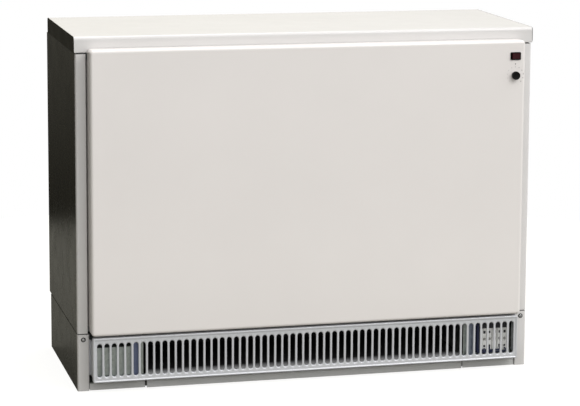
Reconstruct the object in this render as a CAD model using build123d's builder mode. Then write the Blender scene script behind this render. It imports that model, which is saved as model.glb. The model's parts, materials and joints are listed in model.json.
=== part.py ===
"""Fan-assisted night storage heater, floor standing.

A core of magnesite bricks stands on a steel deck, packed in insulation boards inside a galvanised
inner case. Pale enamelled covers hide the inner case, and dark side panels close its ends. The base
below the deck holds a double crossflow fan, a mixing chamber with its air flap, the outlet grille and
the mains terminals. The room thermostat and its switch sit at the top right of the front panel.

Millimetres. +Z is up, +X is to the right seen from the front, and the front looks towards -Y.
The origin is at the middle of the overall box, on the floor.
"""

import os
from math import cos, radians, sin

from build123d import *

os.makedirs("parts", exist_ok=True)

# Casing
height = 672.0
width = 890.0
base_height = 109.0
cover_depth = 346.0
base_step = 10.0
wall_gap = 28.0
lip_height = 30.0
sheet = 1.0
deck_sheet = 2.0
deck_setback = 3.0
cover_gap = 2.0
cover_overhang = 2.5
cover_radius = 6.0
cover_hem = 10.0
cover_hem_radius = 2.0
side_flange = 14.0
rear_flange = 20.0
flange_relief = 10.0
panel_seam = 0.5

# Front columns
column_width = 20.0
base_column_width = 22.0
column_depth = 20.0
column_return = 8.0
column_radius = 4.0
column_inner_radius = 2.0

# Front panel
panel_proud = 32.0
panel_inset = 22.5
panel_lap = 8.0
panel_radius = 5.5
panel_corner = 6.5
panel_rim_gap = 1.0
panel_tab_margin = 12.0

# Outlet grille
grille_proud = 26.0
grille_bottom = 21.0
grille_top_gap = 4.0
grille_side_gap = 3.5
grille_corner = 3.0
grille_rim = 4.0
grille_rim_height = 1.0
grille_field = 1.2
grille_return = 12.0
grille_edge_radius = 1.0
grille_tab_place = 10.0
slot_pitch = 13.8
slot_width = 9.4
slot_side_margin = 5.4
slot_end_margin = 10.25

# Plinth strip
plinth_height = 14.0
plinth_flange = 12.0
plinth_joint_offset = 4.0
plinth_end_setback = 3.0
plinth_notch = 3.0
plinth_side_gap = 1.0

# Inner case and core
front_board = 45.0
rear_board = 45.0
end_board = 48.0
floor_board = 45.0
roof_board = 48.0
left_air_gap = 20.0
chamber_width = 82.0
brick_rows = 5
brick_columns = 3
roof_gap = 5.0
brick_joint = 0.3
air_slot_length = 150.0
air_slot_width = 16.0
air_slot_place = 75.0
top_duct_depth = 22.0
window_margin = 10.0
window_rail = 18.0

# Heating elements
element_rows = (2, 4)
element_radius = 4.25
element_leg_place = 20.0
element_groove_gap = 0.25
element_bend_place = 30.0
element_collar_radius = 7.0
element_collar_length = 10.0
element_stud_radius = 2.0
element_stud_length = 10.0

# Fan and air ducts
duct_floor_height = 29.0
fan_rear_space = 66.0
fan_end_space = 14.0
fan_radius = 28.0
scroll_radius = 34.0
blade_count = 20
blade_chord = 8.0
blade_sheet = 0.9
blade_pitch_angle = 35.0
rotor_disc = 2.0
rotor_hub_radius = 7.0
rotor_hub_length = 8.0
rotor_end_gap = 2.0
shaft_radius = 3.0
shaft_end = 12.0
bearing_radius = 8.0
bearing_length = 8.0
running_gap = 0.05
motor_half_length = 14.0
motor_width = 44.0
motor_bore_gap = 0.3
motor_rotor_radius = 13.0
motor_rotor_gap = 22.0
intake_width = 46.0
fan_floor_rear_gap = 21.0
end_plate_front = 185.0
flap_place = 196.0
flap_rod_radius = 2.5
flap_rod_drop = 8.0
flap_floor_gap = 2.0
flap_side_gap = 2.0
bimetal_width = 12.0
bimetal_length = 60.0
bimetal_gap = 0.3

# Housings behind the grille's ends
end_box_setback = 10.0
left_box_width = 94.5
tray_width = 106.5
end_box_drop = 23.0
end_box_lift = 3.0
end_box_foot = 18.0
duct_flange = 24.0
tray_back = 14.0
terminal_width = 52.0
terminal_height = 46.0
terminal_depth = 18.0
terminal_lift = 9.0
terminal_end_gap = 12.0
terminal_poles = 5
terminal_slot = 1.6
terminal_screw_radius = 3.0
element_poles = (3, 4)
lead_pole = 2
wire_radius = 1.8
wire_bend = 7.0
wire_spacing = 14.0
wire_notch = 8.0
gland_height = 60.0
gland_radius = 10.0
gland_bore_radius = 5.5
gland_flange_radius = 13.0
gland_nut_length = 5.0
gland_dome_length = 11.0

# Controls on the front panel
control_inset = 20.5
switch_drop = 29.5
switch_bezel_width = 21.0
switch_bezel_height = 15.0
switch_bezel_depth = 2.0
switch_body_width = 19.0
switch_body_height = 13.0
switch_body_depth = 20.0
control_hole_gap = 0.1
switch_cavity_width = 18.0
switch_cavity_height = 11.4
switch_cavity_depth = 14.0
rocker_width = 16.0
rocker_height = 10.8
rocker_back = 4.0
rocker_front = 5.4
rocker_dip = 1.2
rocker_pin_radius = 1.0
rocker_pivot_depth = 2.0
rocker_rest_angle = 8.0
knob_drop = 67.0
knob_radius = 8.0
knob_proud = 8.0
knob_gap = 0.8
knob_wall = 1.75
knob_recess = 3.2
knob_groove = 1.0
spindle_radius = 3.0
spindle_grip = 5.4
bushing_radius = 4.5
bushing_proud = 3.0
thermostat_size = 30.0
thermostat_depth = 14.0

# Screws, pads, limiter
screw_head_radius = 4.5
screw_head_height = 2.4
screw_head_rounding = 1.44
screw_shank_radius = 2.0
screw_hole_radius = 2.1
screw_length = 12.0
screw_drop = 9.5
screw_slot = 1.2
pad_length = 20.0
pad_front = 40.0
pad_rear = 290.0
wall_hole_radius = 3.5
wall_hole_rise = 89.0
wall_hole_drop = 60.0
limiter_radius = 10.0
limiter_length = 12.0
limiter_drop = 210.0
button_radius = 2.5
button_length = 9.0
button_depth = 7.0

# Places worked out from the sizes above
base_depth = cover_depth + base_step
side_depth = cover_depth + wall_gap
overall_depth = knob_proud + panel_proud + side_depth
front = knob_proud + panel_proud - overall_depth / 2
half = width / 2
deck_top = base_height + deck_sheet
case_top = height - lip_height - cover_gap
panel_face = front - panel_proud
panel_inner = panel_face + sheet
panel_edge = half - panel_inset
panel_top = height - lip_height + panel_lap
plate_front = front + column_depth
case_front = plate_front + sheet
case_rear = front + cover_depth - sheet
flange_end = case_rear - flange_relief
case_left = -(half - sheet - left_air_gap)
case_right = half - sheet - chamber_width
core_left = case_left + end_board
core_right = case_right - end_board
core_front = case_front + front_board
core_rear = case_rear - rear_board
core_middle = (core_front + core_rear) / 2
core_bottom = deck_top + floor_board
roof_top = case_top - roof_gap - sheet
core_top = roof_top - roof_board
brick_height = (core_top - core_bottom) / brick_rows
brick_width = (core_right - core_left) / brick_columns
brick_depth = core_rear - core_front
brick_middles = [core_left + (column + 0.5) * brick_width for column in range(brick_columns)]
slot_middles = (core_middle - air_slot_place, core_middle + air_slot_place)
pan_top = plinth_height + sheet
duct_floor_top = duct_floor_height + sheet
fan_y = front + base_depth - fan_rear_space
fan_floor_rear = base_depth - fan_floor_rear_gap
fan_z = (duct_floor_top + base_height) / 2
control_x = panel_edge - control_inset
switch_z = panel_top - switch_drop
knob_z = panel_top - knob_drop
grille_half = half - base_column_width - grille_side_gap
grille_face = front - grille_proud
grille_top = base_height - grille_top_gap
grille_height = grille_top - grille_bottom
grille_middle = (grille_bottom + grille_top) / 2
slot_length = grille_height - 2 * slot_end_margin
slot_count = int(2 * (grille_half - slot_side_margin) / slot_pitch)
end_box_face = grille_face + end_box_setback
end_box_bottom = grille_bottom + end_box_lift
end_box_height = base_height - end_box_drop
box_outer = grille_half - 2 * sheet
left_box_edge = left_box_width - box_outer
duct_half_width = box_outer - tray_width
plinth_joint = duct_half_width + plinth_joint_offset
fan_half_length = duct_half_width - fan_end_space
flap_y = front + flap_place
flap_z = base_height - flap_rod_drop
terminal_right = box_outer - terminal_end_gap
terminal_left = terminal_right - terminal_width
terminal_bottom = end_box_bottom + sheet + terminal_lift
terminal_top = terminal_bottom + terminal_height
pole_pitch = terminal_width / terminal_poles
pole_places = [terminal_left + (pole + 0.5) * pole_pitch for pole in range(terminal_poles)]


def block(x0, x1, y0, y1, z0, z1, mode=Mode.ADD):
    """A rectangular solid between two corners, in the part being built."""
    with Locations(((x0 + x1) / 2, (y0 + y1) / 2, (z0 + z1) / 2)):
        Box(abs(x1 - x0), abs(y1 - y0), abs(z1 - z0), mode=mode)


def at_y(y):
    """The plane that faces the front at depth y. Its local axes are X and Z."""
    return Plane.XZ.offset(-y)


def folded(points, radii, side):
    """The outline of a bent sheet: its outer line, and the same line one sheet to the side."""
    with BuildLine() as outline:
        FilletPolyline(*points, radius=radii)
        offset(amount=sheet, side=side)
    return outline.line


def column_outline(sign, face_width):
    """The outline of a folded front column. Its inner side reaches back to the inner plate."""
    outer = sign * half
    inner = sign * (half - face_width)
    return folded(
        [
            (outer, front + column_return),
            (outer, front),
            (inner, front),
            (inner, front + column_depth),
        ],
        [column_radius, column_inner_radius],
        Side.LEFT if sign < 0 else Side.RIGHT,
    )


# Top cover: lip, top and rear hem bent from one sheet
cover_outline = folded(
    [
        (front + cover_hem, height - lip_height),
        (front, height - lip_height),
        (front, height),
        (front + cover_depth, height),
        (front + cover_depth, height - lip_height),
        (front + cover_depth - cover_hem, height - lip_height),
    ],
    [cover_hem_radius, cover_radius, cover_radius, cover_hem_radius],
    Side.RIGHT,
)
with BuildPart() as top_cover:
    with BuildSketch(Plane.YZ.offset(-(half + cover_overhang - sheet))):
        add(cover_outline)
        make_face()
    extrude(amount=2 * (half + cover_overhang - sheet))
top_cover.part.label = "top_cover"
export_step(top_cover.part, "parts/top_cover.step")

# Dark end caps of the cover, with a foot that stands on the felt pads
for side_name, sign in (("left", -1), ("right", 1)):
    cap_outer = half + cover_overhang
    with BuildPart() as cover_end:
        with BuildSketch(Plane.YZ.offset(sign * (cap_outer - sheet / 2))) as cap_outline:
            with Locations((front + cover_depth / 2, height - lip_height / 2)):
                Rectangle(cover_depth, lip_height)
            fillet(cap_outline.vertices().group_by(Axis.Z)[-1], cover_radius)
        extrude(amount=sheet / 2, both=True)
        block(
            sign * (half - side_flange - sheet),
            sign * (cap_outer - sheet),
            front + cover_hem + sheet,
            front + cover_depth - cover_hem - sheet,
            height - lip_height,
            height - lip_height + sheet,
        )
    cover_end.part.label = f"cover_end_{side_name}"
    export_step(cover_end.part, f"parts/cover_end_{side_name}.step")

# Felt pads between the side panels' top flanges and the cover
with BuildPart() as cover_pads:
    for sign in (-1, 1):
        for pad_place in (pad_front, pad_rear):
            block(
                sign * (half - side_flange),
                sign * (half - 2 * sheet),
                front + pad_place,
                front + pad_place + pad_length,
                case_top,
                height - lip_height,
            )
cover_pads.part.label = "cover_pads"
export_step(cover_pads.part, "parts/cover_pads.step")

# Dark side panels, which stand on the deck; their rear flanges lie against the wall
for side_name, sign in (("left", -1), ("right", 1)):
    panel_front = front + column_return + panel_seam
    flange_edge = sign * (half - side_flange)
    with BuildPart() as side_panel:
        block(sign * (half - sheet), sign * half, panel_front, front + side_depth, deck_top, case_top)
        block(flange_edge, sign * half, panel_front, panel_front + sheet, deck_top, case_top)
        block(flange_edge, sign * half, case_front, flange_end, deck_top, deck_top + sheet)
        block(flange_edge, sign * half, case_front, flange_end, case_top - sheet, case_top)
        block(
            sign * (half - rear_flange),
            sign * half,
            front + side_depth - sheet,
            front + side_depth,
            deck_top,
            case_top,
        )
        with BuildSketch(at_y(front + side_depth)):
            with Locations(
                (sign * (half - rear_flange / 2), deck_top + wall_hole_rise),
                (sign * (half - rear_flange / 2), case_top - wall_hole_drop),
            ):
                Circle(wall_hole_radius)
        extrude(amount=sheet, mode=Mode.SUBTRACT)
    side_panel.part.label = f"{side_name}_side_panel"
    export_step(side_panel.part, f"parts/{side_name}_side_panel.step")

    with BuildPart() as front_column:
        with BuildSketch(Plane.XY.offset(deck_top)):
            add(column_outline(sign, column_width))
            make_face()
        extrude(amount=case_top - deck_top)
    front_column.part.label = f"{side_name}_front_column"
    export_step(front_column.part, f"parts/{side_name}_front_column.step")

# Base cheeks: dark folded sides of the base, standing on the floor
for side_name, sign in (("left", -1), ("right", 1)):
    cheek_front = front + column_return + panel_seam
    with BuildPart() as base_cheek:
        block(sign * (half - sheet), sign * half, cheek_front, front + base_depth, 0, base_height)
        block(
            sign * (half - base_column_width),
            sign * half,
            plate_front + sheet,
            front + base_depth,
            0,
            sheet,
        )
        block(
            sign * (half - side_flange),
            sign * half,
            plate_front + sheet,
            front + base_depth,
            base_height - sheet,
            base_height,
        )
        block(
            sign * (half - side_flange),
            sign * half,
            front + base_depth - sheet,
            front + base_depth,
            0,
            base_height,
        )
    base_cheek.part.label = f"{side_name}_base_cheek"
    export_step(base_cheek.part, f"parts/{side_name}_base_cheek.step")

    with BuildPart() as base_column:
        with BuildSketch(Plane.XY):
            add(column_outline(sign, base_column_width))
            make_face()
        extrude(amount=base_height)
        with BuildSketch(at_y(front)):
            with Locations((sign * (half - base_column_width / 2), base_height - screw_drop)):
                Circle(screw_hole_radius)
        extrude(amount=-sheet, mode=Mode.SUBTRACT)
    base_column.part.label = f"{side_name}_base_column"
    export_step(base_column.part, f"parts/{side_name}_base_column.step")

# Round-headed screws at the top of the base columns
with BuildPart() as column_screws:
    screw_places = [
        (sign * (half - base_column_width / 2), base_height - screw_drop) for sign in (-1, 1)
    ]
    with BuildSketch(at_y(front)):
        with Locations(*screw_places):
            Circle(screw_head_radius)
    extrude(amount=screw_head_height)
    fillet(column_screws.faces().sort_by(Axis.Y)[:2].edges(), screw_head_rounding)
    with BuildSketch(at_y(front)):
        with Locations(*screw_places):
            Circle(screw_shank_radius)
    extrude(amount=-screw_length)
    with BuildSketch(at_y(front - screw_head_height)):
        with Locations(*screw_places):
            Rectangle(screw_head_radius, screw_slot)
            Rectangle(screw_slot, screw_head_radius)
    extrude(amount=-screw_head_height / 2, mode=Mode.SUBTRACT)
column_screws.part.label = "column_screws"
export_step(column_screws.part, "parts/column_screws.step")

# Front panel: a deep tray whose top laps over the cover's lip
with BuildPart() as front_panel:
    panel_height = panel_top - deck_top
    panel_middle = (panel_top + deck_top) / 2
    with BuildSketch(at_y(front - panel_rim_gap)):
        with Locations((0, panel_middle)):
            RectangleRounded(2 * panel_edge, panel_height, panel_corner)
    extrude(amount=panel_proud - panel_rim_gap)
    fillet(front_panel.faces().sort_by(Axis.Y)[0].edges(), panel_radius)
    with BuildPart(mode=Mode.PRIVATE) as panel_hollow:
        with BuildSketch(at_y(front - panel_rim_gap)):
            with Locations((0, panel_middle)):
                RectangleRounded(2 * (panel_edge - sheet), panel_height - 2 * sheet, panel_corner - sheet)
        extrude(amount=panel_proud - panel_rim_gap - sheet)
        fillet(panel_hollow.faces().sort_by(Axis.Y)[0].edges(), panel_radius - sheet)
    add(panel_hollow.part, mode=Mode.SUBTRACT)
    for sign in (-1, 1):
        block(
            sign * (panel_edge - sheet),
            sign * panel_edge,
            front - 2 * panel_rim_gap,
            plate_front,
            deck_top + panel_tab_margin,
            case_top - panel_tab_margin,
        )
    with BuildSketch(at_y(panel_face)):
        with Locations((control_x, switch_z)):
            Rectangle(
                switch_body_width + 2 * control_hole_gap,
                switch_body_height + 2 * control_hole_gap,
            )
        with Locations((control_x, knob_z)):
            Circle(bushing_radius + control_hole_gap)
    extrude(amount=-2 * sheet, mode=Mode.SUBTRACT)
front_panel.part.label = "front_panel"
export_step(front_panel.part, "parts/front_panel.step")

# Outlet grille: a shallow tray with a raised rim and a row of upright slots
with BuildPart() as grille:
    with BuildSketch(at_y(grille_face + grille_return)):
        with Locations((0, grille_middle)):
            RectangleRounded(2 * grille_half, grille_height, grille_corner)
    extrude(amount=grille_return)
    fillet(grille.faces().sort_by(Axis.Y)[0].edges(), grille_edge_radius)
    with BuildSketch(at_y(grille_face + grille_return)):
        with Locations((0, grille_middle)):
            RectangleRounded(
                2 * (grille_half - sheet), grille_height - 2 * sheet, grille_corner - sheet
            )
    extrude(amount=grille_return - grille_rim_height - grille_field, mode=Mode.SUBTRACT)
    with BuildSketch(at_y(grille_face)):
        with Locations((0, grille_middle)):
            RectangleRounded(
                2 * (grille_half - grille_rim),
                grille_height - 2 * grille_rim,
                grille_corner - sheet,
            )
    extrude(amount=-grille_rim_height, mode=Mode.SUBTRACT)
    with BuildSketch(at_y(grille_face)):
        with Locations((0, grille_middle)):
            with GridLocations(slot_pitch, 1, slot_count, 1):
                SlotOverall(slot_length, slot_width, rotation=90)
    extrude(amount=-(grille_rim_height + grille_field), mode=Mode.SUBTRACT)
    for sign in (-1, 1):
        block(
            sign * (grille_half - sheet),
            sign * grille_half,
            grille_face + grille_return - sheet,
            front + grille_tab_place,
            grille_bottom + 2 * grille_rim,
            grille_top - 2 * grille_rim,
        )
        block(
            sign * grille_half,
            sign * (half - base_column_width),
            front + grille_tab_place - sheet,
            front + grille_tab_place,
            grille_bottom + 2 * grille_rim,
            grille_top - 2 * grille_rim,
        )
grille.part.label = "grille"
export_step(grille.part, "parts/grille.step")

# Plinth strip in three lengths, hung under the front edge of the base pan
plinth_ends = half - base_column_width - plinth_side_gap
plinth_lengths = {
    "plinth_centre": (-plinth_joint + plinth_notch / 2, plinth_joint - plinth_notch / 2, front),
    "plinth_left": (-plinth_ends, -plinth_joint - plinth_notch / 2, front + plinth_end_setback),
    "plinth_right": (plinth_joint + plinth_notch / 2, plinth_ends, front + plinth_end_setback),
}
for plinth_name, (plinth_from, plinth_to, plinth_face) in plinth_lengths.items():
    plinth_outline = folded(
        [(plinth_face, 0), (plinth_face, plinth_height), (plinth_face + plinth_flange, plinth_height)],
        [cover_hem_radius],
        Side.RIGHT,
    )
    with BuildPart() as plinth:
        with BuildSketch(Plane.YZ.offset(plinth_from)):
            add(plinth_outline)
            make_face()
        extrude(amount=plinth_to - plinth_from)
    plinth.part.label = plinth_name
    export_step(plinth.part, f"parts/{plinth_name}.step")

# Base pan: the floor of the fan space, standing on the cheeks' lower flanges
with BuildPart() as base_pan:
    block(-(half - sheet), half - sheet, case_front, front + base_depth - sheet, plinth_height, pan_top)
    block(
        -plinth_ends,
        plinth_ends,
        front + sheet,
        case_front,
        plinth_height,
        pan_top,
    )
    for sign in (-1, 1):
        block(
            sign * (half - 2 * sheet),
            sign * (half - sheet),
            case_front,
            front + base_depth - sheet,
            sheet,
            pan_top,
        )
    block(
        -(half - sheet),
        half - sheet,
        front + base_depth - 2 * sheet,
        front + base_depth - sheet,
        sheet,
        base_height - sheet,
    )
    with BuildSketch(at_y(front + base_depth - sheet)):
        with Locations((case_right + gland_flange_radius + sheet, gland_height)):
            Circle(gland_radius)
    extrude(amount=sheet, mode=Mode.SUBTRACT)
base_pan.part.label = "base_pan"
export_step(base_pan.part, "parts/base_pan.step")

# Steel deck that carries the core, with slots for the air going up and coming down
with BuildPart() as core_deck:
    block(
        -(half - deck_setback),
        half - deck_setback,
        front + deck_setback,
        front + base_depth - deck_setback,
        base_height,
        deck_top,
    )
    with Locations(*[(x, y, base_height + deck_sheet / 2) for x in brick_middles for y in slot_middles]):
        Box(air_slot_length, air_slot_width, deck_sheet, mode=Mode.SUBTRACT)
    block(
        terminal_left,
        terminal_right,
        front + deck_setback,
        front + deck_setback + wire_notch,
        base_height,
        deck_top,
        mode=Mode.SUBTRACT,
    )
core_deck.part.label = "core_deck"
export_step(core_deck.part, "parts/core_deck.step")

# Inner case: front plate with a service window, two walls, rear panel and roof plate
with BuildPart() as inner_front_plate:
    block(
        -(half - deck_setback),
        half - deck_setback,
        plate_front,
        case_front,
        deck_top,
        case_top,
    )
    block(
        case_right + window_margin,
        half - window_margin,
        plate_front,
        case_front,
        deck_top + window_rail,
        case_top - window_rail,
        mode=Mode.SUBTRACT,
    )
inner_front_plate.part.label = "inner_front_plate"
export_step(inner_front_plate.part, "parts/inner_front_plate.step")

with BuildPart() as inner_left_wall:
    block(case_left - sheet, case_left, case_front, case_rear, deck_top, roof_top)
inner_left_wall.part.label = "inner_left_wall"
export_step(inner_left_wall.part, "parts/inner_left_wall.step")

element_heights = [
    core_bottom + row * brick_height - element_radius - element_groove_gap for row in element_rows
]
element_hole_radius = element_radius + element_groove_gap
with BuildPart() as inner_right_wall:
    block(case_right, case_right + sheet, case_front, case_rear, deck_top, roof_top)
    with Locations(
        *[
            Location((case_right, core_middle + side * element_leg_place, z), (0, 90, 0))
            for side in (-1, 1)
            for z in element_heights
        ]
    ):
        Cylinder(element_hole_radius, 4 * sheet, mode=Mode.SUBTRACT)
inner_right_wall.part.label = "inner_right_wall"
export_step(inner_right_wall.part, "parts/inner_right_wall.step")

with BuildPart() as rear_panel:
    block(-(half - sheet), half - sheet, case_rear, case_rear + sheet, deck_top + sheet, case_top - sheet)
rear_panel.part.label = "rear_panel"
export_step(rear_panel.part, "parts/rear_panel.step")

with BuildPart() as inner_top_plate:
    block(case_left - sheet, case_right + sheet, case_front, case_rear, roof_top, roof_top + sheet)
inner_top_plate.part.label = "inner_top_plate"
export_step(inner_top_plate.part, "parts/inner_top_plate.step")

# Insulation boards round the core
with BuildPart() as front_insulation:
    block(core_left, core_right, case_front, core_front, core_bottom, core_top)
front_insulation.part.label = "front_insulation"
export_step(front_insulation.part, "parts/front_insulation.step")

with BuildPart() as rear_insulation:
    block(core_left, core_right, core_rear, case_rear, core_bottom, core_top)
rear_insulation.part.label = "rear_insulation"
export_step(rear_insulation.part, "parts/rear_insulation.step")

with BuildPart() as end_insulation:
    block(case_left, core_left, case_front, case_rear, core_bottom, core_top)
    block(core_right, case_right, case_front, case_rear, core_bottom, core_top)
    with Locations(
        *[
            Location(
                ((core_right + case_right) / 2, core_middle + side * element_leg_place, z),
                (0, 90, 0),
            )
            for side in (-1, 1)
            for z in element_heights
        ]
    ):
        Cylinder(element_hole_radius, end_board + 2 * sheet, mode=Mode.SUBTRACT)
end_insulation.part.label = "end_insulation"
export_step(end_insulation.part, "parts/end_insulation.step")

with BuildPart() as floor_insulation:
    block(case_left, case_right, case_front, case_rear, deck_top, core_bottom)
    with Locations(*[(x, y, deck_top + floor_board / 2) for x in brick_middles for y in slot_middles]):
        Box(air_slot_length, air_slot_width, floor_board, mode=Mode.SUBTRACT)
floor_insulation.part.label = "floor_insulation"
export_step(floor_insulation.part, "parts/floor_insulation.step")

with BuildPart() as roof_insulation:
    block(case_left, case_right, case_front, case_rear, core_top, roof_top)
roof_insulation.part.label = "roof_insulation"
export_step(roof_insulation.part, "parts/roof_insulation.step")

# Storage bricks, one node for each row; element rows have grooves, the top row has the air turn
groove_size = 2 * element_hole_radius
bend_x = core_left + element_bend_place
for row in range(1, brick_rows + 1):
    row_bottom = core_bottom + (row - 1) * brick_height
    row_top = row_bottom + brick_height
    with BuildPart() as brick_row:
        for brick_middle in brick_middles:
            with Locations((brick_middle, core_middle, row_bottom + brick_height / 2)):
                Box(brick_width - brick_joint, brick_depth, brick_height)
            with Locations(*[(brick_middle, y, row_bottom + brick_height / 2) for y in slot_middles]):
                Box(air_slot_length, air_slot_width, brick_height, mode=Mode.SUBTRACT)
            if row == brick_rows:
                with Locations((brick_middle, core_middle, row_top - top_duct_depth / 2)):
                    Box(
                        air_slot_length,
                        2 * air_slot_place + air_slot_width,
                        top_duct_depth,
                        mode=Mode.SUBTRACT,
                    )
        if row in element_rows:
            for side in (-1, 1):
                leg_y = core_middle + side * element_leg_place
                block(
                    bend_x,
                    core_right,
                    leg_y - groove_size / 2,
                    leg_y + groove_size / 2,
                    row_top - groove_size,
                    row_top,
                    mode=Mode.SUBTRACT,
                )
            bend_reach = element_leg_place + groove_size / 2
            block(
                bend_x - bend_reach,
                bend_x,
                core_middle - bend_reach,
                core_middle + bend_reach,
                row_top - groove_size,
                row_top,
                mode=Mode.SUBTRACT,
            )
    brick_row.part.label = f"brick_row_{row}"
    export_step(brick_row.part, f"parts/brick_row_{row}.step")

# Hairpin heating elements: two legs and a bend, with collars and studs in the right-hand chamber
for number, element_z in enumerate(element_heights, start=1):
    leg_end = case_right + sheet
    with BuildPart() as heating_element:
        with BuildLine():
            near_leg = Line(
                (leg_end, core_middle - element_leg_place, element_z),
                (bend_x, core_middle - element_leg_place, element_z),
            )
            bend = ThreePointArc(
                near_leg @ 1,
                (bend_x - element_leg_place, core_middle, element_z),
                (bend_x, core_middle + element_leg_place, element_z),
            )
            Line(bend @ 1, (leg_end, core_middle + element_leg_place, element_z))
        with BuildSketch(Plane(near_leg @ 0, z_dir=near_leg % 0)):
            Circle(element_radius)
        sweep()
        for side in (-1, 1):
            leg_plane = Plane(
                (leg_end, core_middle + side * element_leg_place, element_z), z_dir=(1, 0, 0)
            )
            with BuildSketch(leg_plane):
                Circle(element_collar_radius)
            extrude(amount=element_collar_length)
            with BuildSketch(leg_plane):
                Circle(element_stud_radius)
            extrude(amount=element_collar_length + element_stud_length)
    heating_element.part.label = f"heating_element_{number}"
    export_step(heating_element.part, f"parts/heating_element_{number}.step")

# Duct floor: the intake runs below it and the mixing chamber lies above it
with BuildPart() as duct_floor:
    block(
        -duct_half_width,
        duct_half_width,
        grille_face + end_box_setback,
        front + fan_floor_rear,
        duct_floor_height,
        duct_floor_top,
    )
    block(
        -(fan_half_length - rotor_end_gap),
        fan_half_length - rotor_end_gap,
        fan_y - intake_width / 2,
        fan_y + intake_width / 2,
        duct_floor_height,
        duct_floor_top,
        mode=Mode.SUBTRACT,
    )
    for sign in (-1, 1):
        block(
            sign * (duct_half_width - sheet),
            sign * duct_half_width,
            case_front,
            front + fan_floor_rear,
            pan_top,
            duct_floor_top,
        )
duct_floor.part.label = "duct_floor"
export_step(duct_floor.part, "parts/duct_floor.step")

# Fan housing: the scroll's rear wall and roof, and the tongue in front of the rotors
with BuildPart() as fan_housing:
    with BuildSketch(Plane.YZ):
        with Locations((fan_y, fan_z)):
            Circle(scroll_radius)
            Circle(scroll_radius - sheet, mode=Mode.SUBTRACT)
        with Locations((fan_y - scroll_radius, fan_z)):
            Rectangle(2 * scroll_radius, 4 * scroll_radius, mode=Mode.SUBTRACT)
        with Locations((fan_y + sheet / 2, (fan_z + scroll_radius - sheet + base_height) / 2)):
            Rectangle(sheet, base_height - fan_z - scroll_radius + sheet)
        with Locations((fan_y + (intake_width + sheet) / 2, fan_z - scroll_radius / 2)):
            Rectangle(intake_width + sheet, scroll_radius, mode=Mode.SUBTRACT)
        foot_y = fan_y + scroll_radius - sheet / 2
        with Locations((foot_y, (fan_z + duct_floor_top) / 2)):
            Rectangle(sheet, fan_z - duct_floor_top)
        tongue_y = fan_y - scroll_radius + sheet / 2
        tongue_top = fan_z - fan_radius / 2
        with Locations((tongue_y, (tongue_top + duct_floor_top) / 2)):
            Rectangle(sheet, tongue_top - duct_floor_top)
    extrude(amount=fan_half_length, both=True)
fan_housing.part.label = "fan_housing"
export_step(fan_housing.part, "parts/fan_housing.step")

# Fan end plates, with seats for the bearings and holes for the flap's rod
with BuildPart() as fan_end_plates:
    for sign in (-1, 1):
        block(
            sign * fan_half_length,
            sign * (fan_half_length + sheet),
            front + end_plate_front,
            front + fan_floor_rear,
            duct_floor_top,
            base_height,
        )
    with Locations(Location((0, fan_y, fan_z), (0, 90, 0))):
        Cylinder(bearing_radius, 2 * fan_half_length + 4 * sheet, mode=Mode.SUBTRACT)
    with Locations(Location((0, flap_y, flap_z), (0, 90, 0))):
        Cylinder(
            flap_rod_radius + running_gap, 2 * fan_half_length + 4 * sheet, mode=Mode.SUBTRACT
        )
fan_end_plates.part.label = "fan_end_plates"
export_step(fan_end_plates.part, "parts/fan_end_plates.step")

# Bearing bushes of the fan shaft
with BuildPart() as fan_bearings:
    for sign in (-1, 1):
        with BuildSketch(Plane.YZ.offset(sign * fan_half_length)):
            with Locations((fan_y, fan_z)):
                Circle(bearing_radius)
                Circle(shaft_radius + running_gap, mode=Mode.SUBTRACT)
        extrude(amount=sign * bearing_length)
fan_bearings.part.label = "fan_bearings"
export_step(fan_bearings.part, "parts/fan_bearings.step")

# Fan shaft, motor rotor and the two crossflow rotors, which turn together
with BuildPart() as fan_shaft:
    with BuildSketch(Plane.YZ):
        with Locations((fan_y, fan_z)):
            Circle(shaft_radius)
    extrude(amount=fan_half_length + shaft_end, both=True)
fan_shaft.part.label = "fan_shaft"
export_step(fan_shaft.part, "parts/fan_shaft.step")

with BuildPart() as motor_rotor:
    with BuildSketch(Plane.YZ):
        with Locations((fan_y, fan_z)):
            Circle(motor_rotor_radius)
            Circle(shaft_radius, mode=Mode.SUBTRACT)
    extrude(amount=motor_half_length, both=True)
motor_rotor.part.label = "motor_rotor"
export_step(motor_rotor.part, "parts/motor_rotor.step")

rotor_from = motor_half_length + motor_rotor_gap
rotor_to = fan_half_length - rotor_end_gap
for side_name, sign in (("left", -1), ("right", 1)):
    with BuildPart() as impeller:
        with BuildSketch(Plane.YZ.offset(sign * rotor_from)):
            with Locations((fan_y, fan_z)):
                with PolarLocations(fan_radius - blade_chord / 2 - rotor_disc, blade_count):
                    Rectangle(blade_chord, blade_sheet, rotation=blade_pitch_angle)
        extrude(amount=sign * (rotor_to - rotor_from))
        for disc_from in (rotor_from, (rotor_from + rotor_to) / 2, rotor_to - rotor_disc):
            with BuildSketch(Plane.YZ.offset(sign * disc_from)):
                with Locations((fan_y, fan_z)):
                    Circle(fan_radius)
            extrude(amount=sign * rotor_disc)
        for hub_from, hub_way in ((rotor_from, 1), (rotor_to, -1)):
            with BuildSketch(Plane.YZ.offset(sign * hub_from)):
                with Locations((fan_y, fan_z)):
                    Circle(rotor_hub_radius)
            extrude(amount=sign * hub_way * rotor_hub_length)
        with Locations(Location((sign * (rotor_from + rotor_to) / 2, fan_y, fan_z), (0, 90, 0))):
            Cylinder(shaft_radius, rotor_to - rotor_from + 2 * sheet, mode=Mode.SUBTRACT)
    impeller.part.label = f"{side_name}_impeller"
    export_step(impeller.part, f"parts/{side_name}_impeller.step")

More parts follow.
